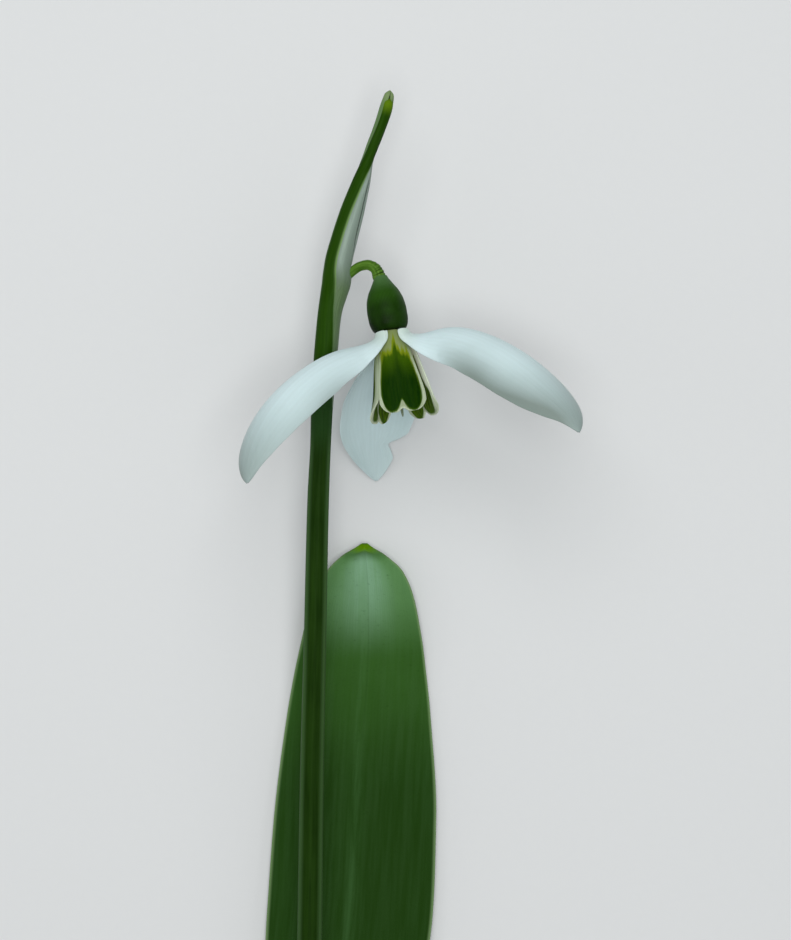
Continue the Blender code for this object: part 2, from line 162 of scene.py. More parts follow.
@dataclass
class Surface:
    """A closed surface under construction.

    Attributes:
        points: places in millimetres, one row a point.
        faces: arrays of point numbers, one row a face.
        flow: each point's place on the organ laid out straight, in millimetres: across, through, along.
        fields: further values by name, one a point.
    """

    points: np.ndarray
    faces: list[np.ndarray]
    flow: np.ndarray
    fields: dict[str, np.ndarray] = field(default_factory=dict)

    def volume(self) -> float:
        """Signed volume: each face, as a fan of triangles, spans a tetrahedron with the origin."""
        total = 0.0
        for faces in self.faces:
            for k in range(1, faces.shape[1] - 1):
                a, b, c = (self.points[faces[:, i]] for i in (0, k, k + 1))
                total += np.einsum("ij,ij->", a, np.cross(b, c)) / 6
        return total

    def joined(self, other: "Surface") -> "Surface":
        """This surface and another as one, with the fields that both have."""
        shifted = [faces + len(self.points) for faces in other.faces]
        return Surface(
            np.concatenate([self.points, other.points]),
            self.faces + shifted,
            np.concatenate([self.flow, other.flow]),
            {name: np.concatenate([self.fields[name], other.fields[name]]) for name in self.fields},
        )

    def piece(self, name: str) -> bpy.types.Object:
        """Makes the mesh object, faces outwards, its object at the origin.

        Args:
            name: the piece's name.

        Returns:
            The linked object.
        """
        faces = self.faces if self.volume() > 0 else [rows[:, ::-1] for rows in self.faces]
        sizes = np.concatenate([np.full(len(rows), rows.shape[1]) for rows in faces])
        corners = np.concatenate([rows.ravel() for rows in faces])
        mesh = bpy.data.meshes.new(name)
        mesh.vertices.add(len(self.points))
        mesh.vertices.foreach_set("co", (self.points * MM).ravel())
        mesh.loops.add(len(corners))
        mesh.loops.foreach_set("vertex_index", corners.astype(np.int32))
        mesh.polygons.add(len(sizes))
        mesh.polygons.foreach_set("loop_start", (np.cumsum(sizes) - sizes).astype(np.int32))
        mesh.update(calc_edges=True)
        mesh.shade_smooth()
        flow = mesh.attributes.new("flow", "FLOAT_VECTOR", "POINT")
        flow.data.foreach_set("vector", self.flow.ravel())
        for key, values in self.fields.items():
            attribute = mesh.attributes.new(key, "FLOAT", "POINT")
            attribute.data.foreach_set("value", np.ravel(values))
        mesh.validate()
        made = bpy.data.objects.new(name, mesh)
        bpy.context.scene.collection.objects.link(made)
        return made


def grid_quads(rows: int, cols: int, ring: bool = False) -> np.ndarray:
    """The four-cornered faces of a grid of points numbered row by row, which closes on itself if ring."""
    number = np.arange(rows * cols).reshape(rows, cols)
    beside = np.roll(number, -1, axis=1)
    here, there = (number, beside) if ring else (number[:, :-1], number[:, 1:])
    return np.stack([here[:-1], there[:-1], there[1:], here[1:]], axis=2).reshape(-1, 4)


def normals(grid: np.ndarray) -> np.ndarray:
    """Unit normals of a grid: the cross product of its slopes along and across."""
    return unit(np.cross(np.gradient(grid, axis=1), np.gradient(grid, axis=0)))


def sheet(
    outer: np.ndarray, inner: np.ndarray, flow: np.ndarray, fields: dict[str, np.ndarray], ring: bool = False
) -> Surface:
    """A closed sheet between two grids of points, stitched all round their rims.

    Args:
        outer: points of one face, rows by columns by 3.
        inner: points of the other face, likewise.
        flow: place of each grid point on the organ laid out straight.
        fields: further values to spread over the grid. "inside" is added: 0 on outer, 1 on inner.
        ring: whether the columns close on themselves, so that the rims are the two mouths of a tube.

    Returns:
        The closed surface.
    """
    shape = outer.shape[:2]
    count = shape[0] * shape[1]
    number = np.arange(count).reshape(shape)
    rims = [np.concatenate([number[0], number[1:, -1], number[-1, -2::-1], number[-2:0:-1, 0]])]
    if ring:
        rims = [number[0], number[-1][::-1]]
    front = grid_quads(*shape, ring)
    faces = [front, front[:, ::-1] + count]
    for rim in rims:
        after = np.roll(rim, -1)
        faces.append(np.stack([after, rim, rim + count, after + count], axis=1))
    both = {name: np.tile(np.broadcast_to(values, shape).ravel(), 2) for name, values in fields.items()}
    both["inside"] = np.repeat([0.0, 1.0], count)
    points = np.concatenate([outer.reshape(-1, 3), inner.reshape(-1, 3)])
    return Surface(points, faces, np.tile(flow.reshape(-1, 3), (2, 1)), both)


def tube(rings: np.ndarray, flow: np.ndarray, fields: dict[str, np.ndarray]) -> Surface:
    """A closed surface through rings of points, with a fan of triangles to a middle point at each end."""
    rows, sides = rings.shape[:2]
    number = np.arange(rows * sides).reshape(rows, sides)
    faces = [grid_quads(rows, sides, ring=True)]
    for end, ring in enumerate((number[0][::-1], number[-1])):
        faces.append(stacked(ring, np.roll(ring, -1), number.size + end))

    def with_middles(grid: np.ndarray) -> np.ndarray:
        """One row a point: the grid's, then the mean of its first ring and that of its last."""
        return np.concatenate([grid.reshape(rows * sides, -1), [grid[end].mean(axis=0) for end in (0, -1)]])

    spread = {name: np.broadcast_to(values, (rows, sides))[..., None] for name, values in fields.items()}
    all_fields = {name: with_middles(values) for name, values in spread.items()}
    return Surface(with_middles(rings), faces, with_middles(flow), all_fields)


def rounds(radius: object, height: np.ndarray, sides: int) -> np.ndarray:
    """Rings about the Z axis, with one radius for all, one a ring, or one a ring and side."""
    turn = turns(sides)
    return stacked(radius * np.cos(turn), radius * np.sin(turn), height[:, None])


def swept(centre: np.ndarray, half_width: np.ndarray, half_depth: np.ndarray, sides: int) -> tuple:
    """Elliptical rings square to a path.

    A point is the path's point plus the half-width times the cosine of its turn sideways, plus the half-depth
    times the sine of its turn upwards. Both may vary along the path and round it.

    Args:
        centre: the path, one row a ring.
        half_width: one a ring, or one a ring and side.
        half_depth: likewise.
        sides: points in a ring.

    Returns:
        The rings, and their flow: sideways and upwards from the path, and the distance run along it.
    """
    tangent = unit(np.gradient(centre, axis=0))
    sideways = unit(np.cross(tangent, (0.0, 0.0, 1.0)))
    upwards = np.cross(sideways, tangent)
    turn = turns(sides)
    x = half_width.reshape(len(centre), -1) * np.cos(turn)
    y = half_depth.reshape(len(centre), -1) * np.sin(turn)
    rings = centre[:, None] + x[..., None] * sideways[:, None] + y[..., None] * upwards[:, None]
    return rings, stacked(x, y, distances(centre)[:, None])


def domed(rings: np.ndarray, flow: np.ndarray, heights: tuple[float, float], steps: int = 10) -> tuple:
    """Rings with a dome added at each end: an ellipse's quarter turn, so a low one is a flat cut.

    Args:
        rings: rings of points.
        flow: their flow.
        heights: how far the first and the last dome stand out.
        steps: rings in a dome.

    Returns:
        The rings and the flow with both domes, and a field that rises from 0 to 1 over each dome.
    """
    angle = np.linspace(0, math.pi / 2, steps + 2)[1:-1, None, None]
    shrink, rise = np.cos(angle), np.sin(angle)
    domes = []
    for end, beside, height in ((0, 1, heights[0]), (-1, -2, heights[1])):
        middle = rings[end].mean(axis=0)
        out = unit(middle - rings[beside].mean(axis=0))
        dome = middle + shrink * (rings[end] - middle) + height * rise * out
        flow_middle = np.array((0, 0, flow[end][:, 2].mean()))
        dome_flow = flow_middle + shrink * (flow[end] - flow_middle)
        cap = np.repeat(1 - shrink[:, :, 0], rings.shape[1], axis=1)
        domes.append((dome, dome_flow, cap))
    first, last = domes
    body = (rings, flow, np.zeros(rings.shape[:2]))
    return tuple(np.concatenate([start[::-1], part, end]) for start, part, end in zip(first, body, last))


# ---------------------------------------------------------------- shader wiring


class Wiring:
    """Adds nodes to one node tree; each method gives back the socket that holds its result."""

    def __init__(self, tree: bpy.types.NodeTree) -> None:
        """Keeps the tree to add to."""
        self.tree = tree

    def node(self, kind: str, **settings: object) -> bpy.types.Node:
        """Adds a node and sets its own properties."""
        made = self.tree.nodes.new(kind)
        for key, value in settings.items():
            setattr(made, key, value)
        return made

    def feed(self, socket: bpy.types.NodeSocket, value: object) -> None:
        """Joins a socket to another, or gives it a plain value."""
        if isinstance(value, bpy.types.NodeSocket):
            self.tree.links.new(value, socket)
        elif isinstance(value, tuple) and socket.type == "RGBA":
            socket.default_value = (*value, 1.0)
        else:
            socket.default_value = value

    def calc(self, operation: str, *values: object, clamp: bool = False) -> bpy.types.NodeSocket:
        """One step of arithmetic, named as the Math node names it."""
        made = self.node("ShaderNodeMath", operation=operation, use_clamp=clamp)
        for socket, value in zip(made.inputs, values):
            self.feed(socket, value)
        return made.outputs[0]

    def times(self, first: object, second: object) -> bpy.types.NodeSocket:
        """The product of two values."""
        return self.calc("MULTIPLY", first, second)

    def plus(self, first: object, second: object) -> bpy.types.NodeSocket:
        """The sum of two values."""
        return self.calc("ADD", first, second)

    def minus(self, first: object, second: object) -> bpy.types.NodeSocket:
        """The first value less the second."""
        return self.calc("SUBTRACT", first, second)

    def away(self, value: object, middle: float = 0.0) -> bpy.types.NodeSocket:
        """How far a value is from a middle one, either way."""
        return self.calc("ABSOLUTE", self.minus(value, middle))

    def field(self, name: str) -> bpy.types.NodeSocket:
        """A value that the mesh carries at its points."""
        return self.node("ShaderNodeAttribute", attribute_name=name).outputs["Fac"]

    def flow(self) -> bpy.types.NodeSocket:
        """The place on the organ laid out straight, in millimetres."""
        return self.node("ShaderNodeAttribute", attribute_name="flow").outputs["Vector"]

    def blend(self, share: object, first: object, second: object) -> bpy.types.NodeSocket:
        """Mixes two colours by a share from 0, the first, to 1, the second."""
        made = self.node("ShaderNodeMix", data_type="RGBA")
        for index, value in ((0, share), (6, first), (7, second)):
            self.feed(made.inputs[index], value)
        return made.outputs[2]

    def coats(self, colour: object, *coats: tuple[object, float, object]) -> bpy.types.NodeSocket:
        """Lays coats over a colour in turn; each is a mask, its strength and its own colour."""
        for mask, strength, over in coats:
            colour = self.blend(self.times(mask, strength), colour, over)
        return colour

    def ramp(self, value: object, *stops: tuple[float, Colour]) -> bpy.types.NodeSocket:
        """Reads a colour from stops of position and colour, eased between them."""
        made = self.node("ShaderNodeValToRGB")
        made.color_ramp.interpolation = "EASE"
        elements = made.color_ramp.elements
        while len(elements) < len(stops):
            elements.new(1.0)
        for element, (position, colour) in zip(elements, stops):
            element.position = position
            element.color = (*colour, 1.0)
        self.feed(made.inputs["Fac"], value)
        return made.outputs["Color"]

    def remap(self, value: object, low: float, high: float, start: float = 0.0, end: float = 1.0):
        """Carries low to start and high to end as a smooth step, held at both."""
        made = self.node("ShaderNodeMapRange", interpolation_type="SMOOTHSTEP")
        for socket, number in zip(made.inputs, (value, low, high, start, end)):
            self.feed(socket, number)
        return made.outputs["Result"]

    def scaled(self, vector: object, scale: tuple[float, float, float]) -> bpy.types.NodeSocket:
        """A vector times a fixed scale on each axis."""
        made = self.node("ShaderNodeVectorMath", operation="MULTIPLY")
        self.feed(made.inputs[0], vector)
        made.inputs[1].default_value = scale
        return made.outputs[0]

    def noise(self, vector: object, scale: object, detail: float = 3.0, rough: float = 0.55):
        """Smooth seeded noise from 0 to 1."""
        made = self.node("ShaderNodeTexNoise")
        for name, value in (("Vector", vector), ("Scale", scale), ("Detail", detail), ("Roughness", rough)):
            self.feed(made.inputs[name], value)
        return made.outputs["Fac"]

    def bump(self, height: object, distance: float) -> bpy.types.NodeSocket:
        """The normal over a height map whose white stands distance millimetres above its black."""
        made = self.node("ShaderNodeBump")
        self.feed(made.inputs["Height"], height)
        made.inputs["Distance"].default_value = distance * MM
        return made.outputs["Normal"]

    def effect(self, group: bpy.types.NodeTree, **inputs: object) -> dict[str, bpy.types.NodeSocket]:
        """Places a shared effect and gives back its outputs by name."""
        made = self.node("ShaderNodeGroup", node_tree=group)
        for name, value in inputs.items():
            self.feed(made.inputs[name], value)
        return {socket.name: socket for socket in made.outputs}


def new_effect(name: str, inputs: dict[str, str], outputs: tuple[str, ...]) -> tuple:
    """Starts a shared effect.

    Args:
        name: the node group's name.
        inputs: socket types by name, "Float" or "Vector".
        outputs: names of its values.

    Returns:
        The group, its wiring, its input sockets by name, and its output node.
    """
    group = bpy.data.node_groups.new(name, "ShaderNodeTree")
    for key, kind in inputs.items():
        group.interface.new_socket(key, in_out="INPUT", socket_type=f"NodeSocket{kind}")
    for key in outputs:
        group.interface.new_socket(key, in_out="OUTPUT", socket_type="NodeSocketFloat")
    wiring = Wiring(group)
    entry = wiring.node("NodeGroupInput")
    return group, wiring, {s.name: s for s in entry.outputs if s.name}, wiring.node("NodeGroupOutput")


class Effects:
    """The shared effects of living tissue, each built once."""

    def __init__(self) -> None:
        """Builds every group."""
        self.fibres = self._fibres()
        self.skin = self._skin()
        self.veins = self._veins()

    def _fibres(self) -> bpy.types.NodeTree:
        """Long soft streaks: noise on the flow, squeezed along the organ by Stretch."""
        group, w, given, out = new_effect(
            "fibres", {"Flow": "Vector", "Fineness": "Float", "Stretch": "Float"}, ("Streak",)
        )
        parts = w.node("ShaderNodeSeparateXYZ")
        w.feed(parts.inputs[0], given["Flow"])
        placed = w.node("ShaderNodeCombineXYZ")
        squeezed = w.calc("DIVIDE", parts.outputs[2], given["Stretch"])
        for socket, value in zip(placed.inputs, (parts.outputs[0], parts.outputs[1], squeezed)):
            w.feed(socket, value)
        streak = w.noise(placed.outputs[0], given["Fineness"], detail=4.0, rough=0.6)
        w.feed(out.inputs["Streak"], w.remap(streak, 0.3, 0.7))
        return group

    def _skin(self) -> bpy.types.NodeTree:
        """Epidermis: Cells is a pebbled height, Patch a slow change, Fleck small scattered spots.

        Fineness is the cells in a millimetre and Spread the size of a patch in millimetres.
        """
        group, w, given, out = new_effect(
            "skin",
            {"Flow": "Vector", "Fineness": "Float", "Spread": "Float"},
            ("Cells", "Patch", "Fleck"),
        )
        cells = w.node("ShaderNodeTexVoronoi", feature="F1")
        w.feed(cells.inputs["Vector"], w.scaled(given["Flow"], (1.0, 1.0, 0.45)))
        w.feed(cells.inputs["Scale"], given["Fineness"])
        w.feed(out.inputs["Cells"], w.calc("SUBTRACT", 1.0, cells.outputs["Distance"], clamp=True))
        patch = w.noise(given["Flow"], w.calc("DIVIDE", 1.0, given["Spread"]), detail=2.0)
        w.feed(out.inputs["Patch"], w.remap(patch, 0.3, 0.7))
        fleck = w.noise(w.scaled(given["Flow"], (1.0, 1.0, 0.6)), 3.1, detail=1.0)
        w.feed(out.inputs["Fleck"], w.remap(fleck, 0.66, 0.78))
        return group

    def _veins(self) -> bpy.types.NodeTree:
        """Parallel veins: Count lines from margin to margin, each wandering a little along the organ."""
        group, w, given, out = new_effect(
            "veins",
            {"Across": "Float", "Flow": "Vector", "Count": "Float", "Wander": "Float"},
            ("Vein",),
        )
        wander = w.noise(w.scaled(given["Flow"], (0.25, 0.25, 0.12)), 1.0, detail=1.0)
        shift = w.times(w.minus(wander, 0.5), given["Wander"])
        half_count = w.calc("DIVIDE", given["Count"], 2.0)
        place = w.plus(w.times(given["Across"], half_count), shift)
        off_line = w.away(w.calc("FRACT", w.plus(place, 0.5)), 0.5)
        line = w.calc("SUBTRACT", 1.0, w.times(off_line, 2.0), clamp=True)
        w.feed(out.inputs["Vein"], w.calc("SMOOTH_MIN", line, 1.0, 0.2))
        return group


# ---------------------------------------------------------------- finishes


@dataclass(frozen=True)
class Finish:
    """A living surface: a Principled shader whose colour, roughness and bump come from nodes.

    Attributes:
        name: the material's name.
        effects: the shared effects.
        sheen: weight of the soft light along its edges, as a fine wax coat gives.
        scatter: weight of the light that passes under its skin.
        scatter_reach: how far that light goes in red, green and blue, in millimetres.
        shine: specular level.
    """

    name: str
    effects: Effects
    sheen: float = 0.0
    scatter: float = 0.0
    scatter_reach: Colour = (1.0, 1.0, 1.0)
    shine: float = 0.4

    def colours(self, w: Wiring) -> tuple:
        """The surface's colour, roughness and normal sockets, then alpha if any; each finish has its own."""
        raise NotImplementedError

    def tissue(self, w: Wiring, fibres: tuple[float, float], skin: tuple[float, float]) -> tuple:
        """Places fibres and skin over the flow.

        Args:
            w: the wiring.
            fibres: the fibres' fineness and stretch.
            skin: the skin's fineness and spread.

        Returns:
            The fibres' streak, and the skin's cells, patch and fleck.
        """
        flow = w.flow()
        streak = w.effect(self.effects.fibres, Flow=flow, Fineness=fibres[0], Stretch=fibres[1])["Streak"]
        parts = w.effect(self.effects.skin, Flow=flow, Fineness=skin[0], Spread=skin[1])
        return streak, parts["Cells"], parts["Patch"], parts["Fleck"]

    def veins(self, w: Wiring, count: float, wander: float) -> bpy.types.NodeSocket:
        """Count parallel veins from margin to margin that wander a little, over the field "across"."""
        across = w.field("across")
        return w.effect(self.effects.veins, Across=across, Flow=w.flow(), Count=count, Wander=wander)["Vein"]

    def relief(self, w: Wiring, distance: float, *parts: tuple[object, float]) -> bpy.types.NodeSocket:
        """The normal over the sum of heights times their weights, where one stands distance millimetres."""
        height = 0.0
        for part, weight in parts:
            height = w.plus(height, w.times(part, weight))
        return w.bump(height, distance)

    def material(self) -> bpy.types.Material:
        """Builds the material."""
        made = bpy.data.materials.new(self.name)
        made.use_nodes = True
        tree = made.node_tree
        shader = tree.nodes["Principled BSDF"]
        wiring = Wiring(tree)
        for name, socket in zip(("Base Color", "Roughness", "Normal", "Alpha"), self.colours(wiring)):
            wiring.feed(shader.inputs[name], socket)
        settings = {
            "Specular IOR Level": self.shine,
            "Sheen Weight": self.sheen,
            "Sheen Roughness": 0.35,
            "Subsurface Weight": self.scatter,
            "Subsurface Radius": self.scatter_reach,
            "Subsurface Scale": MM,
        }
        for name, value in settings.items():
            shader.inputs[name].default_value = value
        return made


@dataclass(frozen=True)
class StalkFinish(Finish):
    """Dark green stalk: fine ribs, painted rim light down both sides, a bluish collar and pale cut flesh."""

    core: Colour = paint(17, 40, 3)
    light: Colour = paint(36, 64, 14)
    collar: Colour = paint(34, 64, 26)
    # edge is the colour of the painted rim light down both sides of the rod.
    edge: Colour = paint(62, 92, 50)
    flesh: Colour = paint(176, 196, 130)

    def colours(self, w: Wiring) -> tuple:
        """Streaks between core and light, then the painted rim light, the collar and the cut by their fields.
        """
        streak, cells, patch, fleck = self.tissue(w, (2.4, 28.0), (9.0, 6.0))
        colour = w.coats(
            self.core,
            (streak, 0.45, self.light),
            (patch, 0.25, self.light),
            (fleck, 0.3, self.core),
            # Painted rim light: paler towards either side of the rod as seen from above.
            (w.remap(w.field("side"), 0.5, 0.9), 0.8, self.edge),
            (w.field("collar"), 0.85, self.collar),
            (w.remap(w.field("cut"), 0.02, 0.12), 1.0, self.flesh),
        )
        relief = self.relief(w, 0.04, (streak, 0.7), (cells, 0.3))
        return colour, w.remap(streak, 0.0, 1.0, 0.58, 0.44), relief


@dataclass(frozen=True)
class KeelFinish(Finish):
    """Dark green keel of the spathe: yellow-green at its tip, pale along its margins partly as their own
    colour and partly as painted rim light, and with painted rim light down its rounded side.

    The mesh carries four masks: "bright" where a margin melts into the membrane, "pale" for painted rim light
    down the side that turns away, "tip" over the front keel's end and "worn" over the rear one's.
    """

    collar: Colour = paint(34, 64, 26)
    middle: Colour = paint(26, 57, 0)
    light: Colour = paint(44, 80, 6)
    edge: Colour = paint(104, 132, 88)
    melt: Colour = paint(110, 140, 84)
    tip: Colour = paint(84, 116, 12)
    worn: Colour = paint(116, 138, 92)

    def colours(self, w: Wiring) -> tuple:
        """Fibres between the two greens, then the collar, the margins and the four masks."""
        streak, cells, patch, _ = self.tissue(w, (3.4, 22.0), (9.0, 5.0))
        along = w.field("along")
        # Pale margins: partly the keel's own paler margin, partly painted rim light where a margin forms the
        # outline.
        margin = w.times(w.remap(w.away(w.field("across")), 0.86, 1.0), w.remap(along, 0.03, 0.1))
        # Painted rim light down the side that turns away, broken up by the fibres.
        pale = w.times(w.field("pale"), w.plus(0.55, w.times(streak, 0.4)))
        colour = w.coats(
            self.middle,
            (streak, 0.3, self.light),
            (patch, 0.02, self.edge),
            (w.remap(along, 0.1, 0.02), 1.0, self.collar),
            (margin, 0.7, self.edge),
            (pale, 1.0, self.edge),
            (w.field("bright"), 1.0, self.melt),
            (w.field("tip"), 1.0, self.tip),
            (w.field("worn"), 1.0, self.worn),
        )
        relief = self.relief(w, 0.03, (streak, 0.6), (cells, 0.4))
        return colour, w.remap(streak, 0.0, 1.0, 0.56, 0.46), relief


@dataclass(frozen=True)
class MembraneFinish(Finish):
    """Papery greyish skin between the keels, a little see-through, with fine parallel fibres."""

    pale: Colour = paint(138, 156, 144)
    # bright is the colour of the painted highlight beside the front keel.
    bright: Colour = paint(170, 190, 176)
    greener: Colour = paint(80, 106, 62)
    dark: Colour = paint(58, 72, 58)

    def colours(self, w: Wiring) -> tuple:
        """Pale skin with darker fibres, a painted highlight in a band beside the front keel, green and solid
        at its foot.
        """
        streak, cells, patch, _ = self.tissue(w, (4.6, 40.0), (8.0, 3.0))
        low = w.field("low")
        colour = w.coats(
            self.pale,
            (streak, 0.3, self.dark),
            (patch, 0.12, self.greener),
            # Painted highlight in a band just short of the front keel.
            (w.field("keel_highlight"), 0.5, self.bright),
            (low, 0.9, self.greener),
        )
        alpha = w.calc("MAXIMUM", w.remap(streak, 0.0, 1.0, 0.72, 0.9), low)
        relief = self.relief(w, 0.04, (streak, 1.0), (cells, 0.3))
        return colour, w.remap(streak, 0.0, 1.0, 0.5, 0.4), relief, alpha


@dataclass(frozen=True)
class PedicelFinish(Finish):
    """Bright green pedicel, with painted shade in the creases where it bends down to the ovary."""

    bright: Colour = paint(90, 128, 46)
    deep: Colour = paint(42, 78, 6)
    wrinkle_shade: Colour = paint(18, 42, 2)

    def colours(self, w: Wiring) -> tuple:
        """Fibres between the two greens, mixed to a dark painted shade in the creases by the field
        "wrinkle_shade".
        """
        streak, cells, patch, _ = self.tissue(w, (4.0, 14.0), (10.0, 2.0))
        colour = w.coats(
            self.deep,
            (streak, 1.0, self.bright),
            (patch, 0.3, self.bright),
            # Painted shade in the creases where the pedicel bends.
            (w.field("wrinkle_shade"), 1.0, self.wrinkle_shade),
        )
        relief = self.relief(w, 0.03, (streak, 0.6), (cells, 0.4))
        return colour, w.remap(streak, 0.0, 1.0, 0.52, 0.4), relief


@dataclass(frozen=True)
class OvaryFinish(Finish):
    """Smooth green ovary: fine meridian lines, blue-green wax at its neck that painted light makes paler, and
    painted shade darkening its foot.
    """

    dark: Colour = paint(9, 28, 0)
    low: Colour = paint(22, 51, 3)
    green: Colour = paint(42, 80, 18)
    lit_bloom: Colour = paint(86, 126, 74)

    def colours(self, w: Wiring) -> tuple:
        """A ramp from the foot, dark with painted shade, to the neck, paler partly with painted light, lined
        by the veins of the field "across".
        """
        veins = self.veins(w, 40.0, 0.5)
        _, cells, patch, fleck = self.tissue(w, (4.0, 10.0), (10.0, 2.6))
        # The ramp darkens to the foot as painted shade and pales to the neck partly as painted light.
        stops = (0.1, self.dark), (0.36, self.low), (0.64, self.green), (1.0, self.lit_bloom)
        colour = w.coats(
            w.ramp(w.field("along"), *stops),
            (veins, 0.6, self.dark),
            (patch, 0.3, self.green),
            (fleck, 0.06, self.lit_bloom),
        )
        relief = self.relief(w, 0.03, (veins, -0.3), (cells, 0.3))
        return colour, w.remap(patch, 0.0, 1.0, 0.36, 0.5), relief


@dataclass(frozen=True)
class PetalFinish(Finish):
    """Cool white petal: faint lengthwise veins, soft pebbled skin, and painted shade on its low flank and its
    tip.
    """

    white: Colour = paint(211, 232, 235)
    shade: Colour = paint(182, 200, 197)
    claw: Colour = paint(192, 208, 194)
    painted_shade: Colour = paint(110, 123, 115)

    def colours(self, w: Wiring) -> tuple:
        """White, greyer along the veins and in slow patches, with a greenish claw, then painted shade by the
        field "painted_shade".
        """
        veins = self.veins(w, 17.0, 0.8)
        streak, cells, patch, _ = self.tissue(w, (1.6, 16.0), (7.0, 7.0))
        off_margin = w.remap(w.away(w.field("across")), 0.98, 0.8)
        colour = w.coats(
            self.white,
            (w.times(veins, off_margin), 0.1, self.shade),
            (streak, 0.14, self.shade),
            (patch, 0.15, self.shade),
            (w.remap(w.field("along"), 0.12, 0.0), 0.7, self.claw),
            # Painted shade on the low flank and towards the tip.
            (w.field("painted_shade"), 1.0, self.painted_shade),
        )
        relief = self.relief(w, 0.03, (cells, 0.3), (veins, -0.25))
        return colour, w.remap(streak, 0.0, 1.0, 0.56, 0.44), relief


@dataclass(frozen=True)
class InnerPetalFinish(Finish):
    """Greenish-white inner petal with one large green mark outside and green lobes inside.

    The mesh carries where the green lies: "mark" rises through a half at its edge, "mark_depth" runs from 0
    at its upper edge to 1 at the lobes, and "stripes" does the same as "mark" for the green inside. Its
    "rim" is 1 along the margins and the lobed end.
    """

    white: Colour = paint(184, 195, 168)
    veil: Colour = paint(148, 160, 130)
    foot: Colour = paint(126, 140, 88)
    halo: Colour = paint(118, 134, 22)
    fading: Colour = paint(92, 110, 26)
    upper: Colour = paint(54, 84, 2)
    deep: Colour = paint(11, 42, 0)
    inner: Colour = paint(84, 112, 24)
    # lit_lining is partly the paler inner face and partly painted light against the shadow of the front
    # petal.
    lit_lining: Colour = paint(232, 240, 220)

    def colours(self, w: Wiring) -> tuple:
        """The mark's edge is broken up by the fibres, and melts through yellow-green at its top."""
        depth, along, inside = w.field("mark_depth"), w.field("along"), w.field("inside")
        outside = w.minus(1.0, inside)
        veins = self.veins(w, 15.0, 0.6)
        streak, cells, _, _ = self.tissue(w, (3.0, 12.0), (9.0, 3.0))
        white = w.coats(
            self.veil,
            (w.field("rim"), 1.0, self.white),
            # Inside, whiter away from the lobes: partly the paler inner face, partly painted light lifting it
            # out of the front petal's shadow.
            (w.times(inside, w.remap(along, 0.95, 0.6, 0.1, 0.9)), 1.0, self.lit_lining),
            (veins, 0.12, self.foot),
            # Greyish green towards the foot outside: partly the petal's own colour, partly painted shade
            # under the outer petals' claws.
            (w.times(w.remap(along, 0.55, 0.12), outside), 1.0, self.foot),
        )
        ragged = w.times(w.minus(streak, 0.5), w.remap(depth, 0.0, 0.3, 0.4, 0.14))
        outer_edge = w.times(w.plus(w.field("mark"), ragged), outside)
        inner_edge = w.times(w.plus(w.field("stripes"), w.times(ragged, 0.6)), inside)
        edge = w.plus(outer_edge, inner_edge)
        green = w.coats(
            w.ramp(w.plus(depth, w.times(ragged, 0.15)), (0.03, self.upper), (0.6, self.deep)),
            (streak, 0.14, self.upper),
            (w.times(inside, w.plus(0.15, w.times(streak, 0.8))), 1.0, self.inner),
        )
        halo = w.ramp(depth, (0.0, self.halo), (0.3, self.fading), (0.8, self.upper))
        solid = w.remap(edge, 0.4, w.remap(depth, 0.0, 0.3, 1.15, 0.8))
        colour = w.coats(white, (w.remap(edge, 0.15, 0.5), 1.0, halo), (solid, 1.0, green))
        relief = self.relief(w, 0.03, (cells, 0.3), (veins, -0.25))
        return colour, w.remap(streak, 0.0, 1.0, 0.6, 0.48), relief


@dataclass(frozen=True)
class PollenFinish(Finish):
    """Orange-yellow anthers on pale green feet, granular with pollen at their tips."""

    foot: Colour = paint(196, 206, 150)
    sac: Colour = paint(226, 156, 44)
    ripe: Colour = paint(240, 190, 84)

    def colours(self, w: Wiring) -> tuple:
        """Foot to sac by the field "pollen", streaked with riper pollen."""
        streak, cells, _, _ = self.tissue(w, (5.0, 8.0), (14.0, 1.5))
        sac = w.coats(self.sac, (streak, 0.6, self.ripe))
        colour = w.blend(w.remap(w.field("pollen"), 0.1, 0.4), self.foot, sac)
        return colour, w.remap(streak, 0.0, 1.0, 0.7, 0.5), w.bump(cells, 0.05)


@dataclass(frozen=True)
class StyleFinish(Finish):
    """Pale green style that greys towards its tip."""

    pale: Colour = paint(206, 216, 180)
    grey: Colour = paint(112, 126, 98)

    def colours(self, w: Wiring) -> tuple:
        """A ramp along the style with faint fibres."""
        streak, _, _, _ = self.tissue(w, (6.0, 10.0), (10.0, 2.0))
        ramp = w.ramp(w.field("along"), (0.0, self.pale), (0.8, self.pale), (0.95, self.grey))
        colour = w.coats(ramp, (streak, 0.3, self.grey))
        return colour, w.remap(streak, 0.0, 1.0, 0.55, 0.4), w.bump(streak, 0.02)


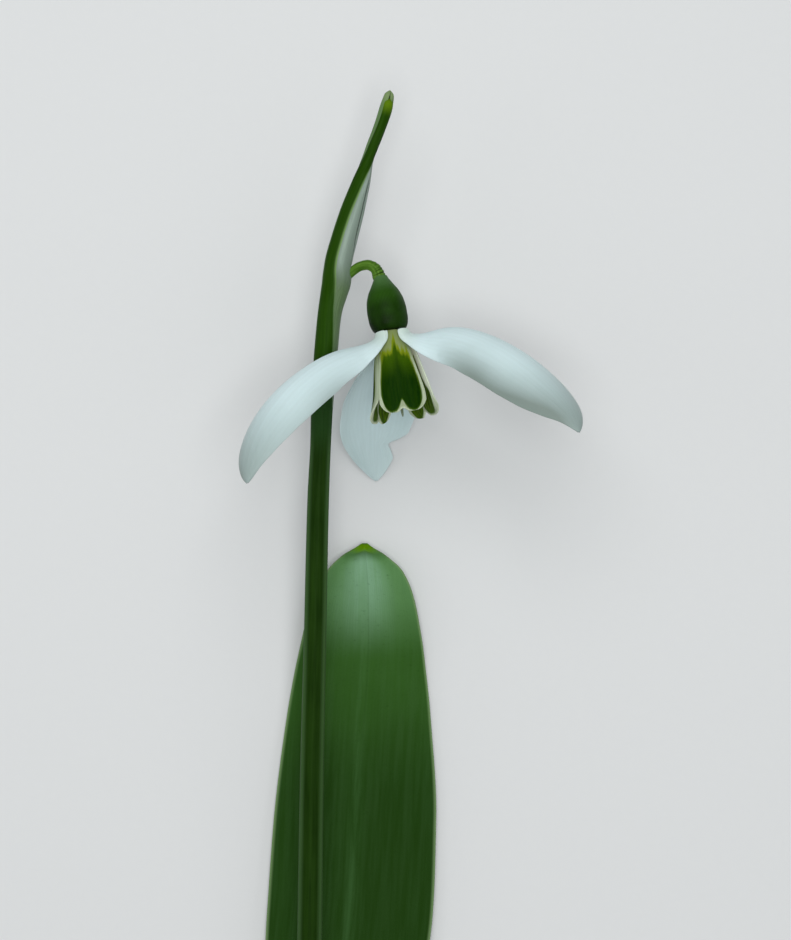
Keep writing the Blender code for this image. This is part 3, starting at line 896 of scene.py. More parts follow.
@dataclass(frozen=True)
class LeafFinish(Finish):
    """Waxy leaf: paler towards its tip partly as painted light, with a painted highlight on its wax there,
    deep green below, pale midrib and rim, a yellow-green callus.
    """

    foot: Colour = paint(172, 190, 130)
    deep: Colour = paint(23, 51, 5)
    low: Colour = paint(29, 60, 13)
    mid: Colour = paint(46, 84, 29)
    shoulder: Colour = paint(92, 136, 84)
    lit_bloom: Colour = paint(136, 176, 148)
    pale: Colour = paint(70, 110, 62)
    rim: Colour = paint(108, 136, 90)
    callus: Colour = paint(84, 126, 0)

    def colours(self, w: Wiring) -> tuple:
        """A ramp along the leaf, paler to the tip partly as painted light, then the painted highlight,
        streaks, pits, midrib, rim and callus over it.
        """
        across, along = w.field("across"), w.field("along")
        veins = self.veins(w, 44.0, 1.6)
        streak, cells, patch, _ = self.tissue(w, (1.3, 16.0), (5.0, 6.0))
        pits = w.noise(w.scaled(w.flow(), (0.7, 0.7, 1.7)), 1.5, detail=5.0, rough=0.7)
        # The ramp pales towards the tip, partly as painted light.
        stops = (
            (0.0, self.foot),
            (0.14, self.deep),
            (0.55, self.low),
            (0.68, self.low),
            (0.85, self.mid),
            (0.97, self.shoulder),
        )
        from_midrib = w.away(across, -0.02)
        # Painted highlight on the wax near the tip, strongest over the midrib.
        lit_bloom = w.times(w.remap(from_midrib, 0.8, 0.0), w.remap(along, 0.85, 0.985))
        low_side = w.times(w.remap(across, 0.0, 0.2), w.remap(along, 0.85, 0.55))
        midrib = w.times(w.remap(from_midrib, 0.11, 0.0), w.plus(0.04, w.times(streak, 0.2)))
        colour = w.coats(
            w.ramp(along, *stops),
            (w.times(lit_bloom, w.plus(0.5, w.times(streak, 0.45))), 1.0, self.lit_bloom),
            (w.times(veins, streak), 0.08, self.deep),
            (streak, 0.12, self.pale),
            (patch, 0.12, self.deep),
            (w.remap(pits, 0.56, 0.72), 0.3, self.deep),
            (low_side, 0.35, self.deep),
            (midrib, 1.0, self.pale),
            (w.remap(w.away(across, 0.035), 0.03, 0.0), 0.12, self.deep),
            (w.remap(w.away(across), 0.955, 1.0), 0.85, self.rim),
            (w.remap(along, 0.976, 0.99), 0.6, self.mid),
            (w.field("callus"), 1.0, self.callus),
        )
        relief = self.relief(w, 0.06, (pits, 0.55), (cells, 0.15))
        return colour, w.remap(streak, 0.0, 1.0, 0.6, 0.5), relief


@dataclass(frozen=True)
class SheathFinish(Finish):
    """Papery sheath round the foot of the shoot: ivory, green-veined, browned at its mouth."""

    ivory: Colour = paint(216, 216, 184)
    green: Colour = paint(142, 162, 98)
    brown: Colour = paint(150, 122, 82)

    def colours(self, w: Wiring) -> tuple:
        """Ivory with green fibres, and brown in patches near the mouth."""
        streak, cells, patch, _ = self.tissue(w, (1.8, 14.0), (6.0, 2.0))
        mouth = w.times(w.remap(w.field("along"), 0.86, 1.0), w.plus(patch, 0.3))
        browned = w.calc("MINIMUM", mouth, 0.8)
        colour = w.coats(self.ivory, (streak, 0.7, self.green), (browned, 1.0, self.brown))
        relief = self.relief(w, 0.08, (streak, 1.0), (cells, 0.4))
        return colour, w.remap(streak, 0.0, 1.0, 0.62, 0.46), relief


@dataclass(frozen=True)
class FloorFinish(Finish):
    """Plain pale studio surface with the faintest grain."""

    tone: Colour = paint(212, 214, 214)
    grain: Colour = paint(178, 180, 180)

    def colours(self, w: Wiring) -> tuple:
        """An even tone whose roughness and height vary slightly."""
        grain = w.noise(w.node("ShaderNodeTexCoord").outputs["Object"], 900.0, detail=2.0)
        colour = w.coats(self.tone, (grain, 0.04, self.grain))
        return colour, w.remap(grain, 0.0, 1.0, 0.7, 0.85), w.bump(grain, 0.01)


# ---------------------------------------------------------------- pieces


class Slot(Enum):
    """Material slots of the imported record."""

    SCAPE = "scape_green"
    SPATHE = "spathe_green"
    PEDICEL = "pedicel_green"
    OVARY = "ovary_green"
    OUTER = "petal_white"
    INNER = "inner_petal"
    ANTHERS = "anther_orange"
    STYLE = "style_pale"
    LEAF = "leaf_green"
    SHEATH = "sheath_pale"


def settle(
    surface: Surface, name: str, node: str, finish: bpy.types.Material
) -> bpy.types.Object:
    """Makes a piece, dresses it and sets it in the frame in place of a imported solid.

    Args:
        surface: the piece's surface.
        name: the piece's name.
        node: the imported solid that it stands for.
        finish: its material.

    Returns:
        The piece.
    """
    piece = surface.piece(name)
    piece.data.materials.append(finish)
    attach(piece, BODY)
    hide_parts(node)
    low, high = box(node)
    reach = max((low - surface.points.min(axis=0)).max(), (surface.points.max(axis=0) - high).max())
    LOG.info("%s: %d points, past %s's box by up to %.2f mm", name, len(surface.points), node, reach)
    return piece


@dataclass
class Scape:
    """The flower stalk, a slender rod from its cut end to the foot of the spathe.

    Attributes:
        axis: distance from the cut, then x and height of the middle above the solid's lowest corner, radius.
        collar_length: length of the bluish band at the top.
        ribs: number of faint lengthwise ribs, and their height as a share of the radius.
        tuck: how far its top runs up inside the spathe.
        rows: rings along it.
        sides: points in a ring.
    """

    axis: Keys = (
        (0, 1.80, 1.80, 1.79),
        (12, 1.90, 1.95, 1.75),
        (26, 2.10, 3.10, 1.69),
        (54, 2.60, 5.90, 1.59),
        (75, 2.95, 7.80, 1.50),
        (92, 3.37, 9.30, 1.42),
        (110, 3.82, 10.90, 1.36),
        (116, 4.10, 11.40, 1.30),
        (121, 4.30, 11.90, 1.36),
        (123, 4.42, 11.95, 1.20),
    )
    collar_length: float = 7.0
    ribs: tuple[int, float] = (11, 0.012)
    tuck: float = 1.6
    rows: int = 270
    sides: int = 72

    def build(self, finish: bpy.types.Material) -> bpy.types.Object:
        """Makes the rod: its radius is eased along the axis and raised by a cosine of the ribs round it."""
        low, high = box("scape")
        run = np.linspace(0, high[1] - low[1] + self.tuck, self.rows)
        x, z, radius = eased(self.axis, run).T
        centre = np.column_stack([low[0] + x, low[1] + run, low[2] + z])
        count, rise = self.ribs
        rib = 1 + rise * np.cos(count * turns(self.sides) + 0.02 * run[:, None])
        radius = radius[:, None] * rib
        rings, flow = swept(centre, radius, radius, self.sides)
        rings, flow, cap = domed(rings, flow, (0.02, 0.02))
        top = flow[..., 2].max() - self.tuck
        collar = soft_step(top - self.collar_length, top - 0.25 * self.collar_length, flow[..., 2])
        cut = np.where(flow[..., 2] < 0.1, cap, 0.0)
        # Mask of the painted rim light: how far a point lies to either side of the rod.
        side = np.abs(flow[..., 0]) / np.abs(flow[..., 0]).max(axis=1, keepdims=True)
        surface = tube(rings, flow, {"collar": collar, "cut": cut, "side": side})
        return settle(surface, "flower_stalk", "scape", finish)


@dataclass
class Spathe:
    """Two green keels joined by a thin membrane, slit towards +X where the pedicel leaves.

    Attributes:
        axis: y, x of the centre line, half-width across and half-depth front to back.
        height: z of the centre line.
        slit: y, angle of the slit's middle round the tube from +X, and its opening in millimetres.
        front: y and the angles where the front keel starts and ends.
        rear: likewise for the rear keel.
        tips: y of the ends of the front and the rear keel.
        membrane_top: y of the membrane's end.
        skin: the membrane's thickness.
        keel_rise: how far the middle of a keel stands out.
        inset: how far the membrane lies within the tube.
        keel_inset: how far a keel's margins do.
        ruffle: height of the membrane's ruffles, and their turn in radians for each millimetre of y.
        keel_highlight: how far the membrane's painted highlight lies from the front keel, and how wide it is,
            in degrees.
        shoulder: y between which the membrane turns from green and solid to pale.
        solid: y between which the keels grow together.
        blunt_over: length over which a keel's tip rounds off.
        membrane_grid: rows and columns of the membrane.
        keel_grid: rows and columns of a keel.
    """

    axis: Keys = (
        (56.9, -2.70, 1.40, 1.40),
        (61.0, -2.42, 1.40, 1.40),
        (65.0, -2.06, 1.46, 1.42),
        (69.4, -1.56, 1.52, 1.46),
        (71.4, -1.14, 1.66, 1.48),
        (73.3, -0.70, 1.86, 1.46),
        (75.1, -0.56, 1.74, 1.42),
        (78.3, 0.18, 1.62, 1.35),
        (81.2, 1.04, 1.54, 1.26),
        (85.3, 2.26, 1.14, 1.16),
        (89.3, 3.44, 0.70, 1.05),
        (92.0, 4.46, 0.70, 0.96),
        (94.5, 5.30, 0.74, 0.85),
        (96.2, 5.72, 0.55, 0.62),
        (97.1, 5.90, 0.34, 0.4),
    )
    height: float = 13.9
    slit: Keys = (
        (56.9, -4, 0.0), (71.0, -4, 0.02), (72.2, -4, 0.7), (73.5, -4, 1.3),
        (74.9, -2, 1.1), (76.4, 12, 0.3), (79.0, 34, 0.24), (84.0, 38, 0.2),
        (88.0, 28, 0.02),
    )
    front: Keys = (
        (56.9, 20, 205), (61.0, 44, 205), (65.7, 57, 205), (70.1, 77, 203), (74.7, 99, 202),
        (80.5, 96, 200), (84.5, 80, 198), (86.3, 64, 186), (88.4, 22, 160), (89.5, 0, 144),
        (90.8, -8, 136), (92.7, -12, 126), (94.0, -12, 124), (97.1, -12, 130),
    )
    rear: Keys = (
        (56.9, 212, 372), (65.7, 222, 330), (74.7, 222, 318), (84.5, 206, 325),
        (86.3, 180, 330), (88.4, 150, 338), (90.8, 126, 350), (92.7, 114, 356),
        (95.0, 108, 366), (96.2, 84, 420), (97.1, 70, 430),
    )
    tips: tuple[float, float] = (96.0, 97.05)
    membrane_top: float = 90.5
    skin: float = 0.12
    keel_rise: float = 0.16
    inset: float = 0.07
    keel_inset: float = 0.03
    ruffle: tuple[float, float] = (0.035, 0.9)
    keel_highlight: tuple[float, float] = (16.0, 14.0)
    shoulder: tuple[float, float] = (71.5, 76.0)
    solid: tuple[float, float] = (86.0, 91.0)
    blunt_over: float = 0.8
    membrane_grid: tuple[int, int] = (190, 110)
    keel_grid: tuple[int, int] = (230, 48)

    def _place(self, y: np.ndarray, angle: np.ndarray, radial: np.ndarray) -> np.ndarray:
        """Points on the tube: its centre line, plus its half-axes times the turn's cosine and sine.

        Args:
            y: one a row.
            angle: turn round the tube from +X towards +Z, one a row and column.
            radial: share of the half-axes, likewise.

        Returns:
            Points, rows by columns by 3.
        """
        x, half_width, half_depth = eased(self.axis, y).T
        centre = np.column_stack([x, y, np.full(len(y), self.height)])
        tangent = unit(np.gradient(centre, axis=0))
        sideways = np.column_stack([tangent[:, 1], -tangent[:, 0], np.zeros(len(y))])
        along_x = radial * half_width[:, None] * np.cos(angle)
        along_z = radial * half_depth[:, None] * np.sin(angle)
        return centre[:, None] + along_x[..., None] * sideways[:, None] + along_z[..., None] * (0.0, 0.0, 1.0)

    def membrane(self, finish: bpy.types.Material) -> bpy.types.Object:
        """Makes the thin tube, open along its slit: the turn runs from one edge of the slit to the other."""
        rows, cols = self.membrane_grid
        y = np.linspace(self.axis[0][0], self.membrane_top, rows)
        width = eased(self.axis, y)[:, 1]
        middle, opening = eased(self.slit, y).T
        half_gap = np.arcsin(np.clip(opening / 2 / width, 0, 0.95)) + 0.02
        share = (even_to_edges(cols) + 1) / 2
        turn = half_gap[:, None] + share * (2 * math.pi - 2 * half_gap[:, None])
        angle = np.radians(middle)[:, None] + turn
        rise, rate = self.ruffle
        ruffle = rise * np.sin(rate * y)[:, None] * np.cos(turn)
        radial = 1 - (self.inset - ruffle) / width[:, None]
        outer = self._place(y, angle, radial)
        inner = self._place(y, angle, radial - self.skin / width[:, None])
        flow = stacked(width[:, None] * np.cos(angle), width[:, None] * np.sin(angle), y[:, None])
        # The painted highlight: a bell-shaped band just short of the front keel's first edge, from the
        # shoulder up.
        apart, wide = self.keel_highlight
        beside = eased(self.front, y)[:, :1] - apart - np.degrees(angle)
        low, high = self.shoulder
        keel_highlight = np.exp(-((beside / wide) ** 2)) * soft_step(low + 0.5, high, y)[:, None]
        surface = sheet(outer, inner, flow, {"low": soft_step(high, low, y)[:, None], "keel_highlight": keel_highlight})
        return settle(surface, "spathe_membrane", "spathe", finish)

    def keel(self, front: bool, finish: bpy.types.Material) -> bpy.types.Object:
        """Makes one keel: a strip of the tube's face that swells between its edges and ends in a blunt tip.

        Its face stands out by the rise times one minus the cube of the place between its edges. Its back lies
        in the membrane below, and reaches the centre line above, where both keels fill the tube. The rear
        keel's first edge dips under the front keel.
        """
        edges, tip = (self.front, self.tips[0]) if front else (self.rear, self.tips[1])
        rows, cols = self.keel_grid
        share = np.linspace(0, 1, rows)
        y = self.axis[0][0] + (tip - self.axis[0][0]) * (share + 0.05 * np.sin(math.pi * share))
        start, end = np.radians(eased(edges, y)).T
        across = even_to_edges(cols)
        middle, reach = (start + end) / 2, (end - start) / 2
        blunt = np.sqrt(1 - soft_step(tip - self.blunt_over, tip, y) ** 2)[:, None, None]
        angle = middle[:, None] + reach[:, None] * across
        width = eased(self.axis, y)[:, 1]
        swell = self.keel_rise * (1 - np.abs(across) ** 3) * soft_step(y[0], y[0] + 4, y)[:, None]
        dip = 0.0 if front else 0.07 * soft_step(-0.6, -0.95, across)
        face = 1 - (self.keel_inset + dip - swell) / width[:, None]
        solid = soft_step(*self.solid, y)[:, None]
        back = face - (0.08 + swell) / width[:, None]
        back = back * (1 - solid) + 0.12 * solid
        outer, inner = self._place(y, angle, face), self._place(y, angle, back)
        seat = self._place(y, middle[:, None], np.full((len(y), 1), 0.45 if front else 0.15))
        outer, inner = seat + (outer - seat) * blunt, seat + (inner - seat) * blunt
        flow = stacked(across * reach[:, None] * width[:, None], 0, y[:, None])
        beside_skin = soft_step(70, 76, y) * soft_step(90, 85, y)
        blunted = soft_step(tip - 2.4, tip - 0.6, y)[:, None]
        # Where the painted rim light "pale" lies: its turn round the tube, and the y over which it sets in.
        fade_round, fade_up = ((148, 178), (58, 74)) if front else ((215, 165), (86, 88))
        fields = {
            "across": across,
            "along": share[:, None],
            "bright": front * soft_step(-0.76, -1.0, across) * beside_skin[:, None],
            "pale": soft_step(*np.radians(fade_round), angle) * soft_step(*fade_up, y)[:, None],
            "tip": front * blunted,
            "worn": (not front) * blunted,
        }
        name = "spathe_front_keel" if front else "spathe_rear_keel"
        return settle(sheet(outer, inner, flow, fields), name, "spathe", finish)

    def build(self, keel: bpy.types.Material, membrane: bpy.types.Material) -> list[bpy.types.Object]:
        """Makes the membrane and both keels."""
        return [self.membrane(membrane), self.keel(True, keel), self.keel(False, keel)]


@dataclass
class Pedicel:
    """The thin stalk of the flower: up inside the spathe, out of its slit, over and down to the ovary.

    Attributes:
        axis: x, y, z and radius along its middle.
        wrinkles: how many rings crease it at its end, the first one's distance from the end, and their pitch.
        crease: depth of a ring as a share of the radius.
        rows: rings along it.
        sides: points in a ring.
    """

    axis: Keys = (
        (-2.6, 58.0, 13.9, 0.48),
        (-2.15, 65.0, 13.9, 0.48),
        (-1.6, 69.5, 13.9, 0.50),
        (-1.0, 71.5, 13.9, 0.52),
        (0.05, 73.1, 13.95, 0.56),
        (1.1, 74.2, 14.1, 0.59),
        (2.15, 74.85, 14.5, 0.60),
        (3.0, 75.0, 14.9, 0.64),
        (3.75, 74.75, 15.05, 0.68),
        (4.2, 74.3, 15.1, 0.74),
        (4.42, 73.75, 15.1, 0.82),
        (4.52, 73.35, 15.12, 0.84),
    )
    wrinkles: tuple[int, float, float] = (5, 0.5, 0.34)
    crease: float = 0.12
    rows: int = 360
    sides: int = 48

    def build(self, finish: bpy.types.Material) -> bpy.types.Object:
        """Makes the rod; each crease is a narrow bell curve taken off the radius, deepest at the bend."""
        keys = np.array(self.axis)
        run_keys = distances(keys[:, :3])
        run = run_keys[-1] * np.sin(np.linspace(0, math.pi / 2, self.rows))
        x, y, z, radius = eased(np.column_stack([run_keys, keys]), run).T
        count, first, pitch = self.wrinkles
        index = np.arange(count)
        at = run_keys[-1] - first - pitch * index - 0.06 * np.sin(2.1 * index)
        turn = turns(self.sides)
        wander = 0.05 * np.sin(2 * turn[None, :, None] + index)
        shape = np.exp(-(((run[:, None, None] - at - wander) / 0.07) ** 2))
        fade = (1 - 0.12 * index) * (0.5 + 0.5 * np.cos(turn[None, :, None] - 2.6 - 0.35 * index))
        wrinkle_shade = (shape * fade).sum(axis=2)
        radius = radius[:, None] * (1 - self.crease * wrinkle_shade)
        rings, flow = swept(np.column_stack([x, y, z]), radius, radius, self.sides)
        rings, flow, _ = domed(rings, flow, (0.3, 0.1))
        pad = (len(rings) - len(wrinkle_shade)) // 2
        # The creases' depth also serves as the mask of the painted shade in them.
        surface = tube(rings, flow, {"wrinkle_shade": np.pad(np.clip(wrinkle_shade, 0, 1), ((pad, pad), (0, 0)))})
        return settle(surface, "pedicel_arch", "pedicel", finish)


@dataclass(frozen=True)
class Head:
    """The flower's own frame: its base is the underside of the ovary, its local -Z looks out of the mouth.

    Attributes:
        from_ovary: step from the middle of the ovary's box to the base.
        tilt: how far the mouth turns up from the surface, in degrees.
        turn: how far it turns towards +X.
    """

    from_ovary: tuple[float, float, float] = (0.32, -3.34, 0.475)
    tilt: float = 12.0
    turn: float = 9.0

    def place(self, local: np.ndarray, azimuth: float = 0.0, lean: float = 0.0) -> np.ndarray:
        """Carries local points to the row frame.

        They are turned about the flower's axis by the azimuth, then tilted about +X and turned about +Z.

        Args:
            local: points, in millimetres.
            azimuth: turn about the flower's axis in degrees, 0 towards the viewer above.
            lean: further turn of the whole piece about +Z.

        Returns:
            The points in the row frame.
        """
        low, high = box("ovary")
        turned = spin(self.turn + lean, 2) @ spin(-90.0 - self.tilt, 0) @ spin(azimuth, 2)
        return local @ turned.T + (low + high) / 2 + self.from_ovary


@dataclass
class Ovary:
    """The ovary, turned about the flower's axis with a slight lean.

    Attributes:
        offset: its axis's distance to local +X.
        lean: how far its top leans to -X, in degrees.
        profile: height above the flower's base, radius.
        ribs: number of shallow swellings round it, and their height as a share of the radius.
        rows: rings along it.
        sides: points in a ring.
    """

    head: Head
    offset: float = 0.08
    lean: float = 1.5
    profile: Keys = (
        (0.08, 1.86), (0.3, 2.08), (0.7, 2.28), (1.6, 2.45), (2.6, 2.46), (3.8, 2.34),
        (5.0, 1.97), (6.1, 1.36), (6.9, 0.93), (7.15, 0.84),
    )
    ribs: tuple[int, float] = (6, 0.010)
    rows: int = 124
    sides: int = 112

    def build(self, finish: bpy.types.Material) -> bpy.types.Object:
        """Makes the solid of revolution, its radius raised by a cosine of the ribs."""
        height = np.linspace(self.profile[0][0], self.profile[-1][0], self.rows)
        count, rise = self.ribs
        radius = eased(self.profile, height)[:, None] * (1 + rise * np.cos(count * turns(self.sides)))
        rings = rounds(radius, height, self.sides)
        rings, flow, _ = domed(rings, rings, (0.12, 0.12), steps=12)
        across = np.abs(2 * np.arange(self.sides) / self.sides - 1) * 2 - 1
        along = (flow[..., 2] - height[0]) / (height[-1] - height[0])
        placed = self.head.place(rings @ spin(-self.lean, 1).T + (self.offset, 0, 0))
        surface = tube(placed, flow, {"across": across, "along": along})
        return settle(surface, "ovary_body", "ovary", finish)


@dataclass
class OuterPetal:
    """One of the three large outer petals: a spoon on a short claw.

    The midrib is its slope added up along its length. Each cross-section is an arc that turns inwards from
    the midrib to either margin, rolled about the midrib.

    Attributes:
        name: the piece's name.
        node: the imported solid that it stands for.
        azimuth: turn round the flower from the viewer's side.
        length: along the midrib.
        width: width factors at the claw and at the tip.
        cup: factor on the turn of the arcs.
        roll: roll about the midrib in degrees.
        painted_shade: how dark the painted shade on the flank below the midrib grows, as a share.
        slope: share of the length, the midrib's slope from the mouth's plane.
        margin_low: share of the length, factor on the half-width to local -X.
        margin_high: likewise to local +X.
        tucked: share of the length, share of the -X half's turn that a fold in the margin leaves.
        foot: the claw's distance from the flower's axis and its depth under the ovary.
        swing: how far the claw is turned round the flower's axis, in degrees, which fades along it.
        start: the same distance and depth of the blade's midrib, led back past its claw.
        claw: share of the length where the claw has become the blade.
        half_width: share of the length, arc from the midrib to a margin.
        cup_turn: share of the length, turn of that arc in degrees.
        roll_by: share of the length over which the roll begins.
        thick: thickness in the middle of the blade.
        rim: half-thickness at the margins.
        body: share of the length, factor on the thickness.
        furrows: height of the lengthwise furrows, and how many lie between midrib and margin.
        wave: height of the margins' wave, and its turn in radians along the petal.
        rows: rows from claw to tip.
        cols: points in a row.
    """

    head: Head
    name: str
    node: str
    azimuth: float
    length: float
    width: tuple[float, float]
    cup: float
    roll: float
    painted_shade: float
    slope: Keys
    margin_low: Keys = ((0, 1), (1, 1))
    margin_high: Keys = ((0, 1), (1, 1))
    tucked: Keys = ((0, 1), (1, 1))
    foot: tuple[float, float] = (1.85, 0.1)
    swing: float = 0.0
    start: tuple[float, float] = (1.95, 0.1)
    claw: float = 0.14
    half_width: Keys = (
        (0.0, 0.95), (0.05, 1.25), (0.12, 2.7), (0.25, 4.5), (0.42, 5.6), (0.58, 5.8),
        (0.72, 5.3), (0.85, 3.9), (0.94, 2.1), (0.985, 0.8), (1.0, 0.12),
    )
    cup_turn: Keys = ((0, 30), (0.12, 62), (0.3, 66), (0.6, 62), (0.85, 52), (1, 40))
    roll_by: float = 0.15
    thick: float = 0.42
    rim: float = 0.025
    body: Keys = ((0, 1.5), (0.1, 1.2), (0.3, 1.0), (0.9, 0.8), (1, 0.3))
    furrows: tuple[float, float] = (0.012, 3.5)
    wave: tuple[float, float] = (0.12, 9.0)
    rows: int = 220
    cols: int = 88

    def grid(self) -> tuple[np.ndarray, np.ndarray, np.ndarray]:
        """Middle surface in the flower's frame, each row's share of the length, and the place across it."""
        even = np.linspace(0, 1, self.rows)
        share = even - 0.1 * np.sin(2 * math.pi * even) / 2
        slope = np.radians(eased(self.slope, share))
        run = np.diff(share) * self.length
        middle = (slope[1:] + slope[:-1]) / 2
        gather = 1 - soft_step(0, self.claw, share)
        out = self.start[0] + added_up(run * np.cos(middle)) + gather * (self.foot[0] - self.start[0])
        down = self.start[1] + added_up(run * np.sin(middle)) + gather * (self.foot[1] - self.start[1])
        foot_factor, tip_factor = self.width
        half = (foot_factor + (tip_factor - foot_factor) * share) * eased(self.half_width, share)
        u = even_to_edges(self.cols)
        low, high = (eased(keys, share)[:, None] for keys in (self.margin_low, self.margin_high))
        factor = np.where(u < 0, low, high)
        cup = self.cup * np.radians(eased(self.cup_turn, share))[:, None]
        tuck = np.where(u < 0, eased(self.tucked, share)[:, None], 1.0)
        turn = cup * u * tuck
        radius = half[:, None] / cup
        across = radius * np.sin(turn) * factor
        sag = radius * (1 - np.cos(turn)) * factor
        (depth, count), (rise, rate) = self.furrows, self.wave
        furrow = depth * np.cos(2 * math.pi * count * u) * np.sin(math.pi * share)[:, None] ** 0.5
        wave = rise * np.sin(rate * share[:, None] + 2 * self.azimuth) * np.abs(u) ** 6 * (u + 0.4)
        sag = sag + furrow + wave
        rolled = eased(((0, 0), (0.6, 0.6), (1, 0.9), (1.4, 1), (1 / self.roll_by, 1)), share / self.roll_by)
        roll = math.radians(self.roll) * rolled[:, None]
        side = across * np.cos(roll) - sag * np.sin(roll)
        inward = across * np.sin(roll) + sag * np.cos(roll)
        out = out[:, None] - inward * np.sin(slope)[:, None]
        down = down[:, None] + inward * np.cos(slope)[:, None]
        swing = np.radians(self.swing) * gather[:, None]
        turned = side * np.cos(swing) + out * np.sin(swing)
        out = out * np.cos(swing) - side * np.sin(swing)
        return stacked(turned, -out, -down), share, u

    def build(self, finish: bpy.types.Material) -> bpy.types.Object:
        """Thickens the middle surface, thinning to a fine rim, and places it on the flower.

        Its field "painted_shade", painted shade on the petal, grows with the drop below the midrib, as a
        share of the half-width, and to the tip.
        """
        middle, share, u = self.grid()
        normal = normals(middle)
        rim = np.sqrt(np.clip(1 - np.abs(u) ** 4, 0, 1))
        body = eased(self.body, share)[:, None]
        offset = normal * (self.thick / 2 * body * rim + self.rim)[..., None]
        outer, inner = (self.head.place(middle + side * offset, self.azimuth) for side in (1, -1))
        along = share[:, None]
        half = eased(self.half_width, along)
        flow = stacked(u * half + self.azimuth, 0, along * self.length)
        height = outer[..., 1]
        below = (height[:, self.cols // 2, None] - height) / half
        # Painted shade where the face drops below the midrib and towards the tip.
        flank = self.painted_shade * soft_step(-0.05, 0.75, below) * soft_step(0.06, 0.5, along)
        painted_shade = np.clip(flank + 0.75 * self.painted_shade * soft_step(0.5, 1.0, along), 0, 0.92)
        surface = sheet(outer, inner, flow, {"across": u, "along": along, "painted_shade": painted_shade})
        return settle(surface, self.name, self.node, finish)


